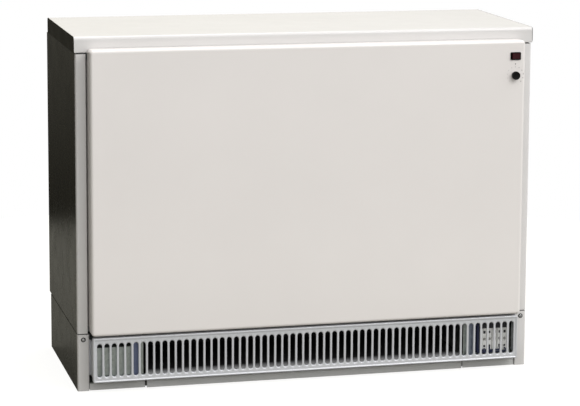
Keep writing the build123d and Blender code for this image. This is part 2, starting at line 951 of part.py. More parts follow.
# Motor stator with its coil and feet, standing on the pan through the intake opening
with BuildPart() as motor_stator:
    motor_bottom = fan_z - motor_width / 2
    block(
        -motor_half_length,
        motor_half_length,
        fan_y - motor_width / 2,
        fan_y + motor_width / 2,
        motor_bottom,
        fan_z + motor_width / 2,
    )
    for sign in (-1, 1):
        block(
            sign * motor_half_length,
            sign * (motor_half_length + sheet),
            fan_y - intake_width / 2 + sheet,
            fan_y + intake_width / 2 - sheet,
            pan_top,
            motor_bottom + motor_rotor_radius,
        )
    with Locations(Location((0, fan_y, fan_z), (0, 90, 0))):
        Cylinder(
            motor_rotor_radius + motor_bore_gap, 4 * motor_half_length, mode=Mode.SUBTRACT
        )
motor_stator.part.label = "motor_stator"
export_step(motor_stator.part, "parts/motor_stator.step")

# Mixing-air flap, hung on its rod behind the mixing chamber
with BuildPart() as mix_air_flap:
    with BuildSketch(Plane.YZ):
        with Locations((flap_y, flap_z)):
            Circle(flap_rod_radius)
    extrude(amount=fan_half_length + 2 * sheet, both=True)
    block(
        -(fan_half_length - flap_side_gap),
        fan_half_length - flap_side_gap,
        flap_y - sheet / 2,
        flap_y + sheet / 2,
        duct_floor_top + flap_floor_gap,
        flap_z,
    )
mix_air_flap.part.label = "mix_air_flap"
export_step(mix_air_flap.part, "parts/mix_air_flap.step")

# Bimetal strip that pushes the flap, fixed under the deck, with its nose close to the flap
with BuildPart() as flap_bimetal:
    bimetal_y = flap_y + flap_rod_radius + bimetal_gap
    block(
        -bimetal_width / 2,
        bimetal_width / 2,
        bimetal_y,
        bimetal_y + sheet,
        base_height - bimetal_length,
        base_height,
    )
    block(
        -bimetal_width / 2,
        bimetal_width / 2,
        bimetal_y,
        bimetal_y + bimetal_width,
        base_height - sheet,
        base_height,
    )
    block(
        -bimetal_width / 2,
        bimetal_width / 2,
        flap_y + sheet / 2 + bimetal_gap,
        bimetal_y,
        base_height - bimetal_length,
        base_height - bimetal_length + sheet,
    )
flap_bimetal.part.label = "flap_bimetal"
export_step(flap_bimetal.part, "parts/flap_bimetal.step")

# Left housing behind the grille's end: a blank galvanised box beside the mixing chamber
with BuildPart() as left_end_box:
    block(-box_outer, left_box_edge, end_box_face, end_box_face + sheet, end_box_bottom, end_box_height)
    block(-box_outer, left_box_edge, end_box_face, front, end_box_height - sheet, end_box_height)
    block(
        left_box_edge - duct_flange,
        left_box_edge,
        end_box_face,
        end_box_face + sheet,
        end_box_height,
        grille_top - sheet,
    )
    block(
        left_box_edge - sheet,
        left_box_edge,
        end_box_face,
        front + end_plate_front,
        end_box_bottom,
        grille_top - sheet,
    )
    block(
        left_box_edge - sheet,
        left_box_edge,
        case_front,
        front + end_plate_front,
        pan_top,
        base_height,
    )
    block(
        left_box_edge - end_box_foot,
        left_box_edge,
        case_front,
        front + end_plate_front,
        pan_top,
        pan_top + sheet,
    )
left_end_box.part.label = "left_end_box"
export_step(left_end_box.part, "parts/left_end_box.step")

# Right housing: an open tray for the mains terminals
tray_back_y = front + tray_back
with BuildPart() as terminal_tray:
    block(
        duct_half_width,
        duct_half_width + duct_flange,
        end_box_face,
        end_box_face + sheet,
        end_box_bottom,
        grille_top - sheet,
    )
    block(
        duct_half_width,
        duct_half_width + sheet,
        end_box_face,
        front + end_plate_front,
        end_box_bottom,
        grille_top - sheet,
    )
    block(
        duct_half_width,
        duct_half_width + sheet,
        case_front,
        front + end_plate_front,
        pan_top,
        base_height,
    )
    block(
        duct_half_width,
        duct_half_width + end_box_foot,
        case_front,
        front + end_plate_front,
        pan_top,
        pan_top + sheet,
    )
    block(duct_half_width, box_outer, tray_back_y, tray_back_y + sheet, end_box_bottom, end_box_height)
    block(
        duct_half_width,
        box_outer,
        end_box_face + sheet,
        tray_back_y,
        end_box_bottom,
        end_box_bottom + sheet,
    )
terminal_tray.part.label = "terminal_tray"
export_step(terminal_tray.part, "parts/terminal_tray.step")

# Terminal block: one pole for each conductor, with clamp screws on its face
with BuildPart() as terminal_block:
    block(
        terminal_left,
        terminal_right,
        tray_back_y - terminal_depth,
        tray_back_y,
        terminal_bottom,
        terminal_top,
    )
    for pole in range(1, terminal_poles):
        pole_edge = terminal_left + pole * pole_pitch
        block(
            pole_edge - terminal_slot / 2,
            pole_edge + terminal_slot / 2,
            tray_back_y - terminal_depth,
            tray_back_y - terminal_depth / 2,
            terminal_bottom,
            terminal_top,
            mode=Mode.SUBTRACT,
        )
    with BuildSketch(at_y(tray_back_y - terminal_depth)):
        with Locations(*[(x, terminal_bottom + terminal_height / 2) for x in pole_places]):
            Circle(terminal_screw_radius)
    extrude(amount=-terminal_depth / 3, mode=Mode.SUBTRACT)
terminal_block.part.label = "terminal_block"
export_step(terminal_block.part, "parts/terminal_block.step")

# Wires from the terminals: two up to the lower element's studs, one up to the thermostat
wire_y = tray_back_y - terminal_depth / 2
window_bottom = deck_top + window_rail
stud_end = case_right + sheet + element_collar_length + element_stud_length
lead_y = panel_inner + thermostat_depth / 2
wire_routes = [
    [
        (pole_places[lead_pole], wire_y, terminal_top),
        (pole_places[lead_pole], wire_y, window_bottom + wire_spacing),
        (control_x, lead_y, window_bottom + 4 * wire_spacing),
        (control_x, lead_y, knob_z - thermostat_size / 2),
    ]
]
for step, (pole, leg) in enumerate(zip(element_poles, (-1, 1)), start=1):
    rise = window_bottom + step * wire_spacing
    turn_x = stud_end + (3 - step) * wire_spacing
    leg_y = core_middle + leg * element_leg_place
    wire_routes.append(
        [
            (pole_places[pole], wire_y, terminal_top),
            (pole_places[pole], wire_y, rise),
            (turn_x, leg_y, rise),
            (turn_x, leg_y, element_heights[0]),
            (stud_end, leg_y, element_heights[0]),
        ]
    )
with BuildPart() as connection_wiring:
    for route_points in wire_routes:
        with BuildLine() as route:
            FilletPolyline(*route_points, radius=wire_bend)
        with BuildSketch(Plane(route.line @ 0, z_dir=route.line % 0)):
            Circle(wire_radius)
        sweep(path=route.line)
connection_wiring.part.label = "connection_wiring"
export_step(connection_wiring.part, "parts/connection_wiring.step")

# Cable gland in the pan's rear wall, ready for the supply cable
gland_x = case_right + gland_flange_radius + sheet
gland_y = front + base_depth - 2 * sheet
with BuildPart() as cable_gland:
    with BuildSketch(at_y(gland_y)):
        with Locations((gland_x, gland_height)):
            Circle(gland_flange_radius)
    extrude(amount=gland_nut_length)
    with BuildSketch(at_y(gland_y)):
        with Locations((gland_x, gland_height)):
            Circle(gland_radius)
    extrude(amount=-sheet)
    with BuildSketch(at_y(gland_y + sheet)):
        with Locations((gland_x, gland_height)):
            Circle(gland_flange_radius)
    extrude(amount=-gland_dome_length)
    chamfer(cable_gland.edges().filter_by(GeomType.CIRCLE).sort_by(Axis.Y)[-1], gland_nut_length / 2)
    with BuildSketch(at_y(gland_y - gland_nut_length)):
        with Locations((gland_x, gland_height)):
            Circle(gland_bore_radius)
    extrude(amount=-(gland_nut_length + sheet + gland_dome_length), mode=Mode.SUBTRACT)
cable_gland.part.label = "cable_gland"
export_step(cable_gland.part, "parts/cable_gland.step")

# Switch: a snap-in housing with a bezel, and a rocker on an upright pin
pivot_y = panel_face + rocker_pivot_depth
with BuildPart() as switch_housing:
    with BuildSketch(at_y(panel_face)):
        with Locations((control_x, switch_z)):
            RectangleRounded(switch_bezel_width, switch_bezel_height, switch_bezel_depth)
    extrude(amount=switch_bezel_depth)
    fillet(switch_housing.faces().sort_by(Axis.Y)[0].edges(), switch_bezel_depth / 4)
    with BuildSketch(at_y(panel_face)):
        with Locations((control_x, switch_z)):
            Rectangle(switch_body_width, switch_body_height)
    extrude(amount=-switch_body_depth)
    with BuildSketch(at_y(panel_face - switch_bezel_depth)):
        with Locations((control_x, switch_z)):
            Rectangle(switch_cavity_width, switch_cavity_height)
    extrude(amount=-switch_cavity_depth, mode=Mode.SUBTRACT)
    with Locations((control_x, pivot_y, switch_z)):
        Cylinder(rocker_pin_radius + running_gap, switch_bezel_height, mode=Mode.SUBTRACT)
switch_housing.part.label = "switch_housing"
export_step(switch_housing.part, "parts/switch_housing.step")

# The rocker is drawn level and then turned to its off position about its pin
rest = radians(rocker_rest_angle)


def turned(x, y):
    """A point of the rocker's plan, turned about the pin to the off position."""
    return (
        control_x + x * cos(rest) - y * sin(rest),
        pivot_y + x * sin(rest) + y * cos(rest),
    )


with BuildPart() as switch_rocker:
    with BuildSketch(Plane.XY.offset(switch_z - rocker_height / 2)):
        with BuildLine():
            Polyline(
                turned(-rocker_width / 2, -rocker_front),
                turned(0, -rocker_front + rocker_dip),
                turned(rocker_width / 2, -rocker_front),
                turned(rocker_width / 2, 0),
                turned(rocker_width / 4, rocker_back),
                turned(-rocker_width / 4, rocker_back),
                turned(-rocker_width / 2, 0),
                close=True,
            )
        make_face()
    extrude(amount=rocker_height)
    with Locations((control_x, pivot_y, switch_z)):
        Cylinder(rocker_pin_radius, switch_body_height - 4 * control_hole_gap)
switch_rocker.part.label = "switch_rocker"
export_step(switch_rocker.part, "parts/switch_rocker.step")

# Thermostat: body behind the panel, bushing through it, spindle and knob
with BuildPart() as thermostat_body:
    with BuildSketch(at_y(panel_inner)):
        with Locations((control_x, knob_z)):
            RectangleRounded(thermostat_size, thermostat_size, 2 * sheet)
    extrude(amount=-thermostat_depth)
    with BuildSketch(at_y(panel_inner)):
        with Locations((control_x, knob_z)):
            Circle(bushing_radius)
    extrude(amount=sheet + bushing_proud)
    with BuildSketch(at_y(panel_face - bushing_proud)):
        with Locations((control_x, knob_z)):
            Circle(spindle_radius + running_gap)
    extrude(amount=-(bushing_proud + sheet + thermostat_depth / 2), mode=Mode.SUBTRACT)
thermostat_body.part.label = "thermostat_body"
export_step(thermostat_body.part, "parts/thermostat_body.step")

knob_back = panel_face - knob_gap
with BuildPart() as thermostat_spindle:
    with BuildSketch(at_y(panel_inner + thermostat_depth / 2 - running_gap)):
        with Locations((control_x, knob_z)):
            Circle(spindle_radius)
    extrude(amount=thermostat_depth / 2 - running_gap + sheet + knob_gap + spindle_grip)
thermostat_spindle.part.label = "thermostat_spindle"
export_step(thermostat_spindle.part, "parts/thermostat_spindle.step")

with BuildPart() as thermostat_knob:
    with BuildSketch(at_y(knob_back)):
        with Locations((control_x, knob_z)):
            Circle(knob_radius)
    extrude(amount=knob_proud - knob_gap)
    fillet(thermostat_knob.faces().sort_by(Axis.Y)[0].edges(), knob_wall / 2)
    with BuildSketch(at_y(knob_back)):
        with Locations((control_x, knob_z)):
            Circle(knob_radius - knob_wall)
    extrude(amount=knob_recess, mode=Mode.SUBTRACT)
    with BuildSketch(at_y(knob_back)):
        with Locations((control_x, knob_z)):
            Circle(spindle_radius)
    extrude(amount=spindle_grip, mode=Mode.SUBTRACT)
    with BuildSketch(at_y(knob_back - knob_proud + knob_gap)):
        with Locations((control_x, knob_z + knob_radius / 2)):
            Rectangle(knob_groove, knob_radius)
    extrude(amount=-knob_groove, mode=Mode.SUBTRACT)
thermostat_knob.part.label = "thermostat_knob"
export_step(thermostat_knob.part, "parts/thermostat_knob.step")

# Overheat limiter on the inner right wall, with its reset button
limiter_plane = Plane((case_right + sheet, core_middle, case_top - limiter_drop), z_dir=(1, 0, 0))
with BuildPart() as overheat_limiter:
    with BuildSketch(limiter_plane):
        Circle(limiter_radius)
    extrude(amount=limiter_length)
    with BuildSketch(limiter_plane.offset(limiter_length)):
        Circle(button_radius + running_gap)
    extrude(amount=-(limiter_length - sheet), mode=Mode.SUBTRACT)
overheat_limiter.part.label = "overheat_limiter"
export_step(overheat_limiter.part, "parts/overheat_limiter.step")

with BuildPart() as limiter_reset_button:
    with BuildSketch(limiter_plane.offset(limiter_length - button_depth)):
        Circle(button_radius)
    extrude(amount=button_length)
limiter_reset_button.part.label = "limiter_reset_button"
export_step(limiter_reset_button.part, "parts/limiter_reset_button.step")
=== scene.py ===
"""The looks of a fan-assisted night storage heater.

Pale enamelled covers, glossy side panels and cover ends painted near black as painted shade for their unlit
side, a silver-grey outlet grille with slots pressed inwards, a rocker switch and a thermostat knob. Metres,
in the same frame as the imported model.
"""

import json
from math import cos, pi, radians, sin

import bmesh
import bpy
from mathutils import Matrix, Vector


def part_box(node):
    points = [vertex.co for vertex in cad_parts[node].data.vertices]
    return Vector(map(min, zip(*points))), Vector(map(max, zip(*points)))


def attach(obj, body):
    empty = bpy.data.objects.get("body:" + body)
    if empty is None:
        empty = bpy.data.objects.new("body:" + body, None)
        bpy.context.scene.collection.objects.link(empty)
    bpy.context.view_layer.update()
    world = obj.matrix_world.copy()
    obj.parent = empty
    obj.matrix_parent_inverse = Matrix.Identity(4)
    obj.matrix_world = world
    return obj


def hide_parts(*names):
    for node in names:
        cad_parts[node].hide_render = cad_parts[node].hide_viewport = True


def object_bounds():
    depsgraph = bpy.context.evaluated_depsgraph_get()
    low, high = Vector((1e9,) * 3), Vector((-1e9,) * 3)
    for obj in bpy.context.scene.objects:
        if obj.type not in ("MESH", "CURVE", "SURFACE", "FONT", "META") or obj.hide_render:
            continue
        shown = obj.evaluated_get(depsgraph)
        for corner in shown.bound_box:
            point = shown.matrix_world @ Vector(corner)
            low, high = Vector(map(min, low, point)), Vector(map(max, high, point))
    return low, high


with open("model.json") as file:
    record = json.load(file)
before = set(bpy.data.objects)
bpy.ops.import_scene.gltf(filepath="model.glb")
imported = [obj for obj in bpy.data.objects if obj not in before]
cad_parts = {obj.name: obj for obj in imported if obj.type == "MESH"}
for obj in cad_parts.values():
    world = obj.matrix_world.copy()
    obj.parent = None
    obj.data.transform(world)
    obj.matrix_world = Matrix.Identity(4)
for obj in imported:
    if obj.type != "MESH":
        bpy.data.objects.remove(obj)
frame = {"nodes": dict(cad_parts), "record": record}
cad_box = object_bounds()
MM = 0.001
MERGE_DISTANCE = 1e-6
NEARLY_NOUGHT = 1e-9

# Camera, fitted to the casing's corners in the photograph
CAMERA_PLACE = (-1.0717, -4.3714, 1.1620)
CAMERA_YAW = 15.00
CAMERA_PITCH = 8.81
CAMERA_ROLL = 0.47
CAMERA_LENS = 143.34
CAMERA_SHIFT = (-0.080, -0.130)
SENSOR_WIDTH = 36.0
FAR_CLIP = 100


def camera():
    """The camera at the photograph's viewing angle."""
    data = bpy.data.cameras.new("camera")
    data.lens = CAMERA_LENS
    data.sensor_width = SENSOR_WIDTH
    data.shift_x, data.shift_y = CAMERA_SHIFT
    data.clip_end = FAR_CLIP
    item = bpy.data.objects.new("camera", data)
    turn = Matrix.Rotation(radians(-CAMERA_YAW), 4, "Z")
    tip = Matrix.Rotation(radians(90 - CAMERA_PITCH), 4, "X")
    roll = Matrix.Rotation(radians(CAMERA_ROLL), 4, "Z")
    item.matrix_world = Matrix.Translation(CAMERA_PLACE) @ turn @ tip @ roll
    bpy.context.scene.collection.objects.link(item)
    bpy.context.scene.camera = item


# Studio lamps: name, place, target, size and power in watts
LAMPS = (
    ("key_lamp", (1.5, -2.0, 2.5), (0, 0, 0.50), (1.6, 1.4), 30),
    ("front_lamp", (-0.7, -3.2, 1.4), (0, 0, 0.35), (1.2, 1.0), 11),
    ("top_lamp", (-0.30, 0.35, 2.6), (-0.15, 0.1, 0.6), (1.8, 1.2), 22),
)


def lamp(name, place, target, size, power):
    """A rectangular studio lamp that points from its place at a target, unseen by the camera."""
    data = bpy.data.lights.new(name, "AREA")
    data.shape = "RECTANGLE"
    data.size, data.size_y = size
    data.energy = power
    item = bpy.data.objects.new(name, data)
    way = Vector(target) - Vector(place)
    item.matrix_world = Matrix.Translation(place) @ way.to_track_quat("-Z", "Y").to_matrix().to_4x4()
    item.visible_camera = False
    bpy.context.scene.collection.objects.link(item)


class Graph:
    """A node tree being wired, with short calls for adding nodes and links."""

    def __init__(self, tree):
        self.tree = tree

    def add(self, kind, inputs=None, **settings):
        """A new node with its settings made, and its inputs set to values or linked to outputs."""
        node = self.tree.nodes.new(kind)
        for key, value in settings.items():
            setattr(node, key, value)
        for key, value in (inputs or {}).items():
            socket = node.inputs[key]
            if isinstance(value, bpy.types.NodeSocket):
                self.tree.links.new(value, socket)
            else:
                socket.default_value = value
        return node

    def link(self, output, socket):
        self.tree.links.new(output, socket)


def material(name, **shader_values):
    """A new material, its graph and its shader, with plain numbers on the shader's own sockets."""
    made = bpy.data.materials.new(name)
    made.use_nodes = True
    made.node_tree.nodes.clear()
    graph = Graph(made.node_tree)
    shader = graph.add("ShaderNodeBsdfPrincipled", shader_values_to_inputs(shader_values))
    output = graph.add("ShaderNodeOutputMaterial")
    graph.link(shader.outputs["BSDF"], output.inputs["Surface"])
    return made, graph, shader


def shader_values_to_inputs(values):
    """Keyword names such as coat_weight as the shader's socket names, such as Coat Weight."""
    names = {"ior": "IOR", "specular_ior_level": "Specular IOR Level"}
    return {names.get(key, key.replace("_", " ").title()): value for key, value in values.items()}


def noise(graph, scale, detail=3.0, roughness=0.5):
    """Noise on Object coordinates. The scale is in cells per metre."""
    coordinates = graph.add("ShaderNodeTexCoord")
    return graph.add(
        "ShaderNodeTexNoise",
        {"Vector": coordinates.outputs["Object"], "Scale": scale, "Detail": detail, "Roughness": roughness},
    ).outputs["Fac"]


def between(graph, factor, low, high, steps=(0.3, 0.7)):
    """A number that goes from low to high as the factor goes through the two steps."""
    return graph.add(
        "ShaderNodeMapRange",
        {"Value": factor, "From Min": steps[0], "From Max": steps[1], "To Min": low, "To Max": high},
    ).outputs["Result"]


def blend_colours(graph, factor, first, second):
    """A colour between two colours."""
    mix = graph.add("ShaderNodeMix", data_type="RGBA")
    graph.link(factor, mix.inputs["Factor"])
    mix.inputs["A"].default_value = (*first, 1)
    mix.inputs["B"].default_value = (*second, 1)
    return mix.outputs["Result"]


def shaded(colour, factor):
    """A colour made lighter or darker by a factor."""
    return tuple(min(1.0, part * factor) for part in colour)


def shades(graph, shader, factor, colour, spread):
    """The base colour, from a darker to a lighter shade of one colour."""
    darker, lighter = (shaded(colour, part) for part in spread)
    graph.link(blend_colours(graph, factor, darker, lighter), shader.inputs["Base Color"])


def gloss(graph, shader, factor, roughness, spread, steps=(0.3, 0.7)):
    """Uneven roughness, spread about its middle value by two factors."""
    least, most = (roughness * part for part in spread)
    graph.link(between(graph, factor, least, most, steps), shader.inputs["Roughness"])


def relief(graph, shader, height, strength, depth):
    """A bump from a height. The depth is in metres."""
    bump = graph.add("ShaderNodeBump", {"Height": height, "Strength": strength, "Distance": depth})
    graph.link(bump.outputs["Normal"], shader.inputs["Normal"])


# Grain of the finishes in cells per metre
CLOUD_CELLS = 3.5
STREAK_CELLS = 22.0
PEEL_CELLS = 700.0
SPANGLE_CELLS = 160.0
ZINC_CELLS = 300.0
METAL_CELLS = 1500.0
MOULD_CELLS = 60.0
STONE_CELLS = 260.0
WEAR_CELLS = 40.0
COATING_CELLS = 500.0
# Depth of their relief in metres
FAINT_RELIEF = 0.0001
FINE_RELIEF = 0.0002
COARSE_RELIEF = 0.001
# Least and most of a shade or of a roughness, as parts of its middle value
EVEN_SPREAD = (0.85, 1.15)
METAL_SHADES = (0.85, 1.1)
METAL_GLOSS = (0.8, 1.25)
ZINC_GLOSS = (0.75, 1.25)
STONE_SHADES = (0.5, 1.5)
STONE_GLOSS = (0.8, 0.95)


def enamel(name, colour, roughness, mottle=0.03, peel=0.10, coat=0.3, specular=0.5, metallic=0.0):
    """Stoved enamel on sheet steel: orange peel, a faint mottle, and slightly uneven gloss."""
    made, graph, shader = material(
        name,
        coat_weight=coat,
        coat_roughness=0.12,
        specular_ior_level=specular,
        metallic=metallic,
    )
    cloud = noise(graph, CLOUD_CELLS, 4.0, 0.6)
    shades(graph, shader, between(graph, cloud, 0, 1), colour, (1 - mottle, 1 + mottle))
    gloss(graph, shader, noise(graph, STREAK_CELLS, 5.0, 0.6), roughness, EVEN_SPREAD)
    relief(graph, shader, noise(graph, PEEL_CELLS, 2.0), peel, FINE_RELIEF)
    return made


# The blue strips of the zinc: colour, (centre x, strength) of each, half width with its soft edge, and front
ZINC_STRIP_BLUE = (0.15, 0.18, 0.34)
BLUE_PLACES = ((-0.338, 0.85), (0.3275, 0.55))
BLUE_HALF_WIDTH = 0.0065
BLUE_EDGE = (0.7 * BLUE_HALF_WIDTH, 1.3 * BLUE_HALF_WIDTH)
BLUE_FRONT = (-0.181, -0.176)


def blue_strip_amount(graph, place):
    """How blue the zinc is: a blue strip on each end box's front, beside the duct."""
    where = graph.add("ShaderNodeSeparateXYZ", {"Vector": place})
    x = where.outputs["X"]
    front = between(graph, where.outputs["Y"], 1.0, 0.0, BLUE_FRONT)
    strips = []
    for centre, most in BLUE_PLACES:
        away = graph.add("ShaderNodeMath", {0: x, 1: centre}, operation="SUBTRACT")
        far = graph.add("ShaderNodeMath", {0: away.outputs["Value"]}, operation="ABSOLUTE")
        strips.append(between(graph, far.outputs["Value"], most, 0.0, BLUE_EDGE))
    either = graph.add("ShaderNodeMath", {0: strips[0], 1: strips[1]}, operation="MAXIMUM")
    return graph.add(
        "ShaderNodeMath", {0: either.outputs["Value"], 1: front}, operation="MULTIPLY"
    ).outputs["Value"]


def zinc(name, light, dark, roughness):
    """Galvanised sheet: spangled crystals of slightly different grey."""
    made, graph, shader = material(name, metallic=1.0)
    coordinates = graph.add("ShaderNodeTexCoord")
    spangle = graph.add(
        "ShaderNodeTexVoronoi",
        {"Vector": coordinates.outputs["Object"], "Scale": SPANGLE_CELLS, "Randomness": 1.0},
    )
    split = graph.add("ShaderNodeSeparateColor", {"Color": spangle.outputs["Color"]})
    crystals = blend_colours(graph, split.outputs["Red"], dark, light)
    tinted = graph.add("ShaderNodeMix", data_type="RGBA")
    graph.link(blue_strip_amount(graph, coordinates.outputs["Object"]), tinted.inputs["Factor"])
    graph.link(crystals, tinted.inputs["A"])
    tinted.inputs["B"].default_value = (*ZINC_STRIP_BLUE, 1)
    graph.link(tinted.outputs["Result"], shader.inputs["Base Color"])
    gloss(graph, shader, split.outputs["Green"], roughness, ZINC_GLOSS, (0, 1))
    relief(graph, shader, noise(graph, ZINC_CELLS), 0.08, FINE_RELIEF)
    return made


def plain_metal(name, colour, roughness):
    """Bright metal with a fine grain."""
    made, graph, shader = material(name, metallic=1.0)
    grain = noise(graph, METAL_CELLS)
    shades(graph, shader, grain, colour, METAL_SHADES)
    gloss(graph, shader, grain, roughness, METAL_GLOSS)
    relief(graph, shader, grain, 0.12, FAINT_RELIEF)
    return made


def moulded(name, colour, roughness, grain=900.0, strength=0.12, **more):
    """Moulded plastic, felt or paint: one colour with a fine surface grain and uneven gloss."""
    made, graph, shader = material(name, **more)
    cloud = noise(graph, MOULD_CELLS)
    shades(graph, shader, cloud, colour, EVEN_SPREAD)
    gloss(graph, shader, cloud, roughness, EVEN_SPREAD)
    relief(graph, shader, noise(graph, grain), strength, FINE_RELIEF)
    return made


def pressed_stone(name, colour):
    """Storage brick: coarse pressed grains, dusty, with darker specks."""
    made, graph, shader = material(name)
    specks = noise(graph, STONE_CELLS, 5.0, 0.7)
    shades(graph, shader, between(graph, specks, 0, 1), colour, STONE_SHADES)
    gloss(graph, shader, specks, 1.0, STONE_GLOSS)
    relief(graph, shader, specks, 0.6, COARSE_RELIEF)
    return made


# The duct's coating: its black, its grey painted light along the front, and where that painted light fades to
# black, in metres along Y
DUCT_BLACK = (0.022, 0.021, 0.023)
DUCT_PAINTED_LIGHT = (0.40, 0.40, 0.41)
DUCT_LIGHT_FADE = (-0.168, -0.140)
DUCT_RAGGED = 0.01


def duct_coating(name):
    """Matt black coating of the air duct, with grey painted light along its front edge that fades raggedly to
    black.
    """
    made, graph, shader = material(name, roughness=0.8, specular_ior_level=0.1)
    coordinates = graph.add("ShaderNodeTexCoord")
    y = graph.add("ShaderNodeSeparateXYZ", {"Vector": coordinates.outputs["Object"]}).outputs["Y"]
    ragged = graph.add("ShaderNodeMath", {0: noise(graph, WEAR_CELLS), 1: DUCT_RAGGED}, operation="MULTIPLY")
    edge = graph.add("ShaderNodeMath", {0: y, 1: ragged.outputs["Value"]}, operation="ADD")
    # Painted light: grey near the front edge, where light through the slots falls, black further in
    painted_light = between(graph, edge.outputs["Value"], 1, 0, DUCT_LIGHT_FADE)
    graph.link(blend_colours(graph, painted_light, DUCT_BLACK, DUCT_PAINTED_LIGHT), shader.inputs["Base Color"])
    relief(graph, shader, noise(graph, COATING_CELLS), 0.2, FINE_RELIEF)
    return made


COVER_ENAMEL = (0.602, 0.588, 0.578)
PANEL_ENAMEL = (0.715, 0.682, 0.660)
# Painted shade: near black for the side panels and cover ends, which stand for pale enamel in shadow
PAINTED_SHADE_ENAMEL = (0.018, 0.016, 0.009)
GRILLE_ENAMEL = (0.66, 0.67, 0.70)
PLINTH_ENAMEL = (0.54, 0.54, 0.53)

FINISHES = {
    "cover_enamel": enamel("cover_enamel", COVER_ENAMEL, 0.34),
    "panel_enamel": enamel("panel_enamel", PANEL_ENAMEL, 0.40, mottle=0.015),
    # The side panels' near black is painted shade
    "dark_enamel": enamel("dark_enamel", PAINTED_SHADE_ENAMEL, 0.26, mottle=0.25, peel=0.2, coat=0.0, specular=0.3),
    "grille_enamel": enamel("grille_enamel", GRILLE_ENAMEL, 0.34, mottle=0.02, metallic=0.35),
    "plinth_enamel": enamel("plinth_enamel", PLINTH_ENAMEL, 0.45),
    "galvanised": zinc("galvanised", (0.54, 0.58, 0.565), (0.45, 0.49, 0.475), 0.42),
    "deck_steel": moulded("deck_steel", (0.035, 0.034, 0.032), 0.55, grain=500.0, metallic=0.3),
    "duct_black": duct_coating("duct_black"),
    "bright_steel": plain_metal("bright_steel", (0.56, 0.56, 0.57), 0.28),
    "element_sheath": plain_metal("element_sheath", (0.26, 0.23, 0.20), 0.4),
    "bronze": plain_metal("bronze", (0.50, 0.34, 0.17), 0.45),
    "fan_aluminium": plain_metal("fan_aluminium", (0.70, 0.71, 0.72), 0.35),
    "storage_brick": pressed_stone("storage_brick", (0.12, 0.07, 0.05)),
    "insulation_board": pressed_stone("insulation_board", (0.45, 0.40, 0.30)),
    "felt": moulded("felt", (0.02, 0.02, 0.02), 0.95, grain=1800.0, strength=0.8, sheen_weight=0.3),
    "black_plastic": moulded("black_plastic", (0.004, 0.004, 0.004), 0.45, specular_ior_level=0.15),
    "red_rocker": moulded("red_rocker", (0.032, 0.004, 0.006), 0.25, strength=0.05, specular_ior_level=0.25),
    "white_terminal": moulded("white_terminal", (0.74, 0.74, 0.72), 0.45),
    "scale_grey": moulded("scale_grey", (0.30, 0.29, 0.28), 0.5),
    "entry_black": moulded("entry_black", (0.02, 0.02, 0.025), 0.6),
    "wire_sleeve": moulded("wire_sleeve", (0.012, 0.017, 0.055), 0.5),
    "end_cap_painted_shade": enamel("end_cap_painted_shade", PAINTED_SHADE_ENAMEL, 0.40, mottle=0.1, peel=0.2, coat=0.0, specular=0.2),
}


def dress_nodes():
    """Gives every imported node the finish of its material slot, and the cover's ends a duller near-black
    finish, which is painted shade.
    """
    for entry in frame["record"]["subparts"]:
        node = frame["nodes"][entry["node"]]
        node.data.materials.clear()
        # The cover's ends take a near-black finish that is painted shade
        finish = "end_cap_painted_shade" if entry["node"].startswith("cover_end") else entry["material_slot"]
        node.data.materials.append(FINISHES[finish])


# The floor: its size, its drop under the heater's feet, its colour, and how far the camera sees it lifted
FLOOR_RADIUS = 1.60
FLOOR_STEPS = 96
FLOOR_DROP = 0.0005
FLOOR_TONE = (0.20, 0.195, 0.168)
FLOOR_LIFT = 0.88
# How far the unlifted footprint stays inside the casing's box
FOOT_SIDE = 8 * MM
FOOT_FRONT = 55 * MM
FOOT_REAR = 25 * MM
# The sky's strength: away from the light, towards it, below the horizon, most in a mirror, and behind in one
SKY_DIM = 0.13
SKY_BRIGHT = 1.60
SKY_BELOW = 0.006
SKY_MIRRORED = 0.55
SKY_BEHIND = 0.90
DIM_TONE = (1.0, 0.96, 0.80)
# The way of the light, and the steps over which the sky changes along it and along each axis
LIGHT_WAY = (0.72, -0.42, 0.55)
LIGHT_STEPS = (-0.28, 0.8)
TONE_STEPS = (-0.3, 0.3)
HORIZON_STEPS = (-0.195, -0.095)
BEHIND_STEPS = (0.55, 0.90)
RAISED_STEPS = (0.03, 0.12)
RIGHTWARD_STEPS = (-0.12, 0.12)


def studio_floor():
    """A pale round floor. The camera sees it lifted to white away from the heater, shadows kept."""
    mesh = bpy.data.meshes.new("studio_floor")
    angles = [2 * pi * step / FLOOR_STEPS for step in range(FLOOR_STEPS)]
    rim = [(FLOOR_RADIUS * cos(angle), FLOOR_RADIUS * sin(angle), -FLOOR_DROP) for angle in angles]
    mesh.from_pydata(rim, [], [list(range(FLOOR_STEPS))])
    floor = put_in_scene("studio_floor", mesh)
    paper = bpy.data.materials.new("studio_paper")
    paper.use_nodes = True
    paper.node_tree.nodes.clear()
    graph = Graph(paper.node_tree)
    ray = graph.add("ShaderNodeLightPath")
    coordinates = graph.add("ShaderNodeTexCoord")
    place = graph.add("ShaderNodeSeparateXYZ", {"Vector": coordinates.outputs["Object"]})
    open_floor = outside(graph, place.outputs["X"], place.outputs["Y"])
    diffuse = graph.add("ShaderNodeBsdfDiffuse", {"Color": (*FLOOR_TONE, 1)})
    lift = graph.add("ShaderNodeEmission", {"Color": (1, 1, 1, 1)})
    seen = graph.add("ShaderNodeMath", {0: ray.outputs["Is Camera Ray"], 1: open_floor}, operation="MULTIPLY")
    strength = graph.add("ShaderNodeMath", {0: seen.outputs["Value"], 1: FLOOR_LIFT}, operation="MULTIPLY")
    graph.link(strength.outputs["Value"], lift.inputs["Strength"])
    both = graph.add("ShaderNodeAddShader")
    graph.link(diffuse.outputs["BSDF"], both.inputs[0])
    graph.link(lift.outputs["Emission"], both.inputs[1])
    output = graph.add("ShaderNodeOutputMaterial")
    graph.link(both.outputs["Shader"], output.inputs["Surface"])
    mesh.materials.append(paper)


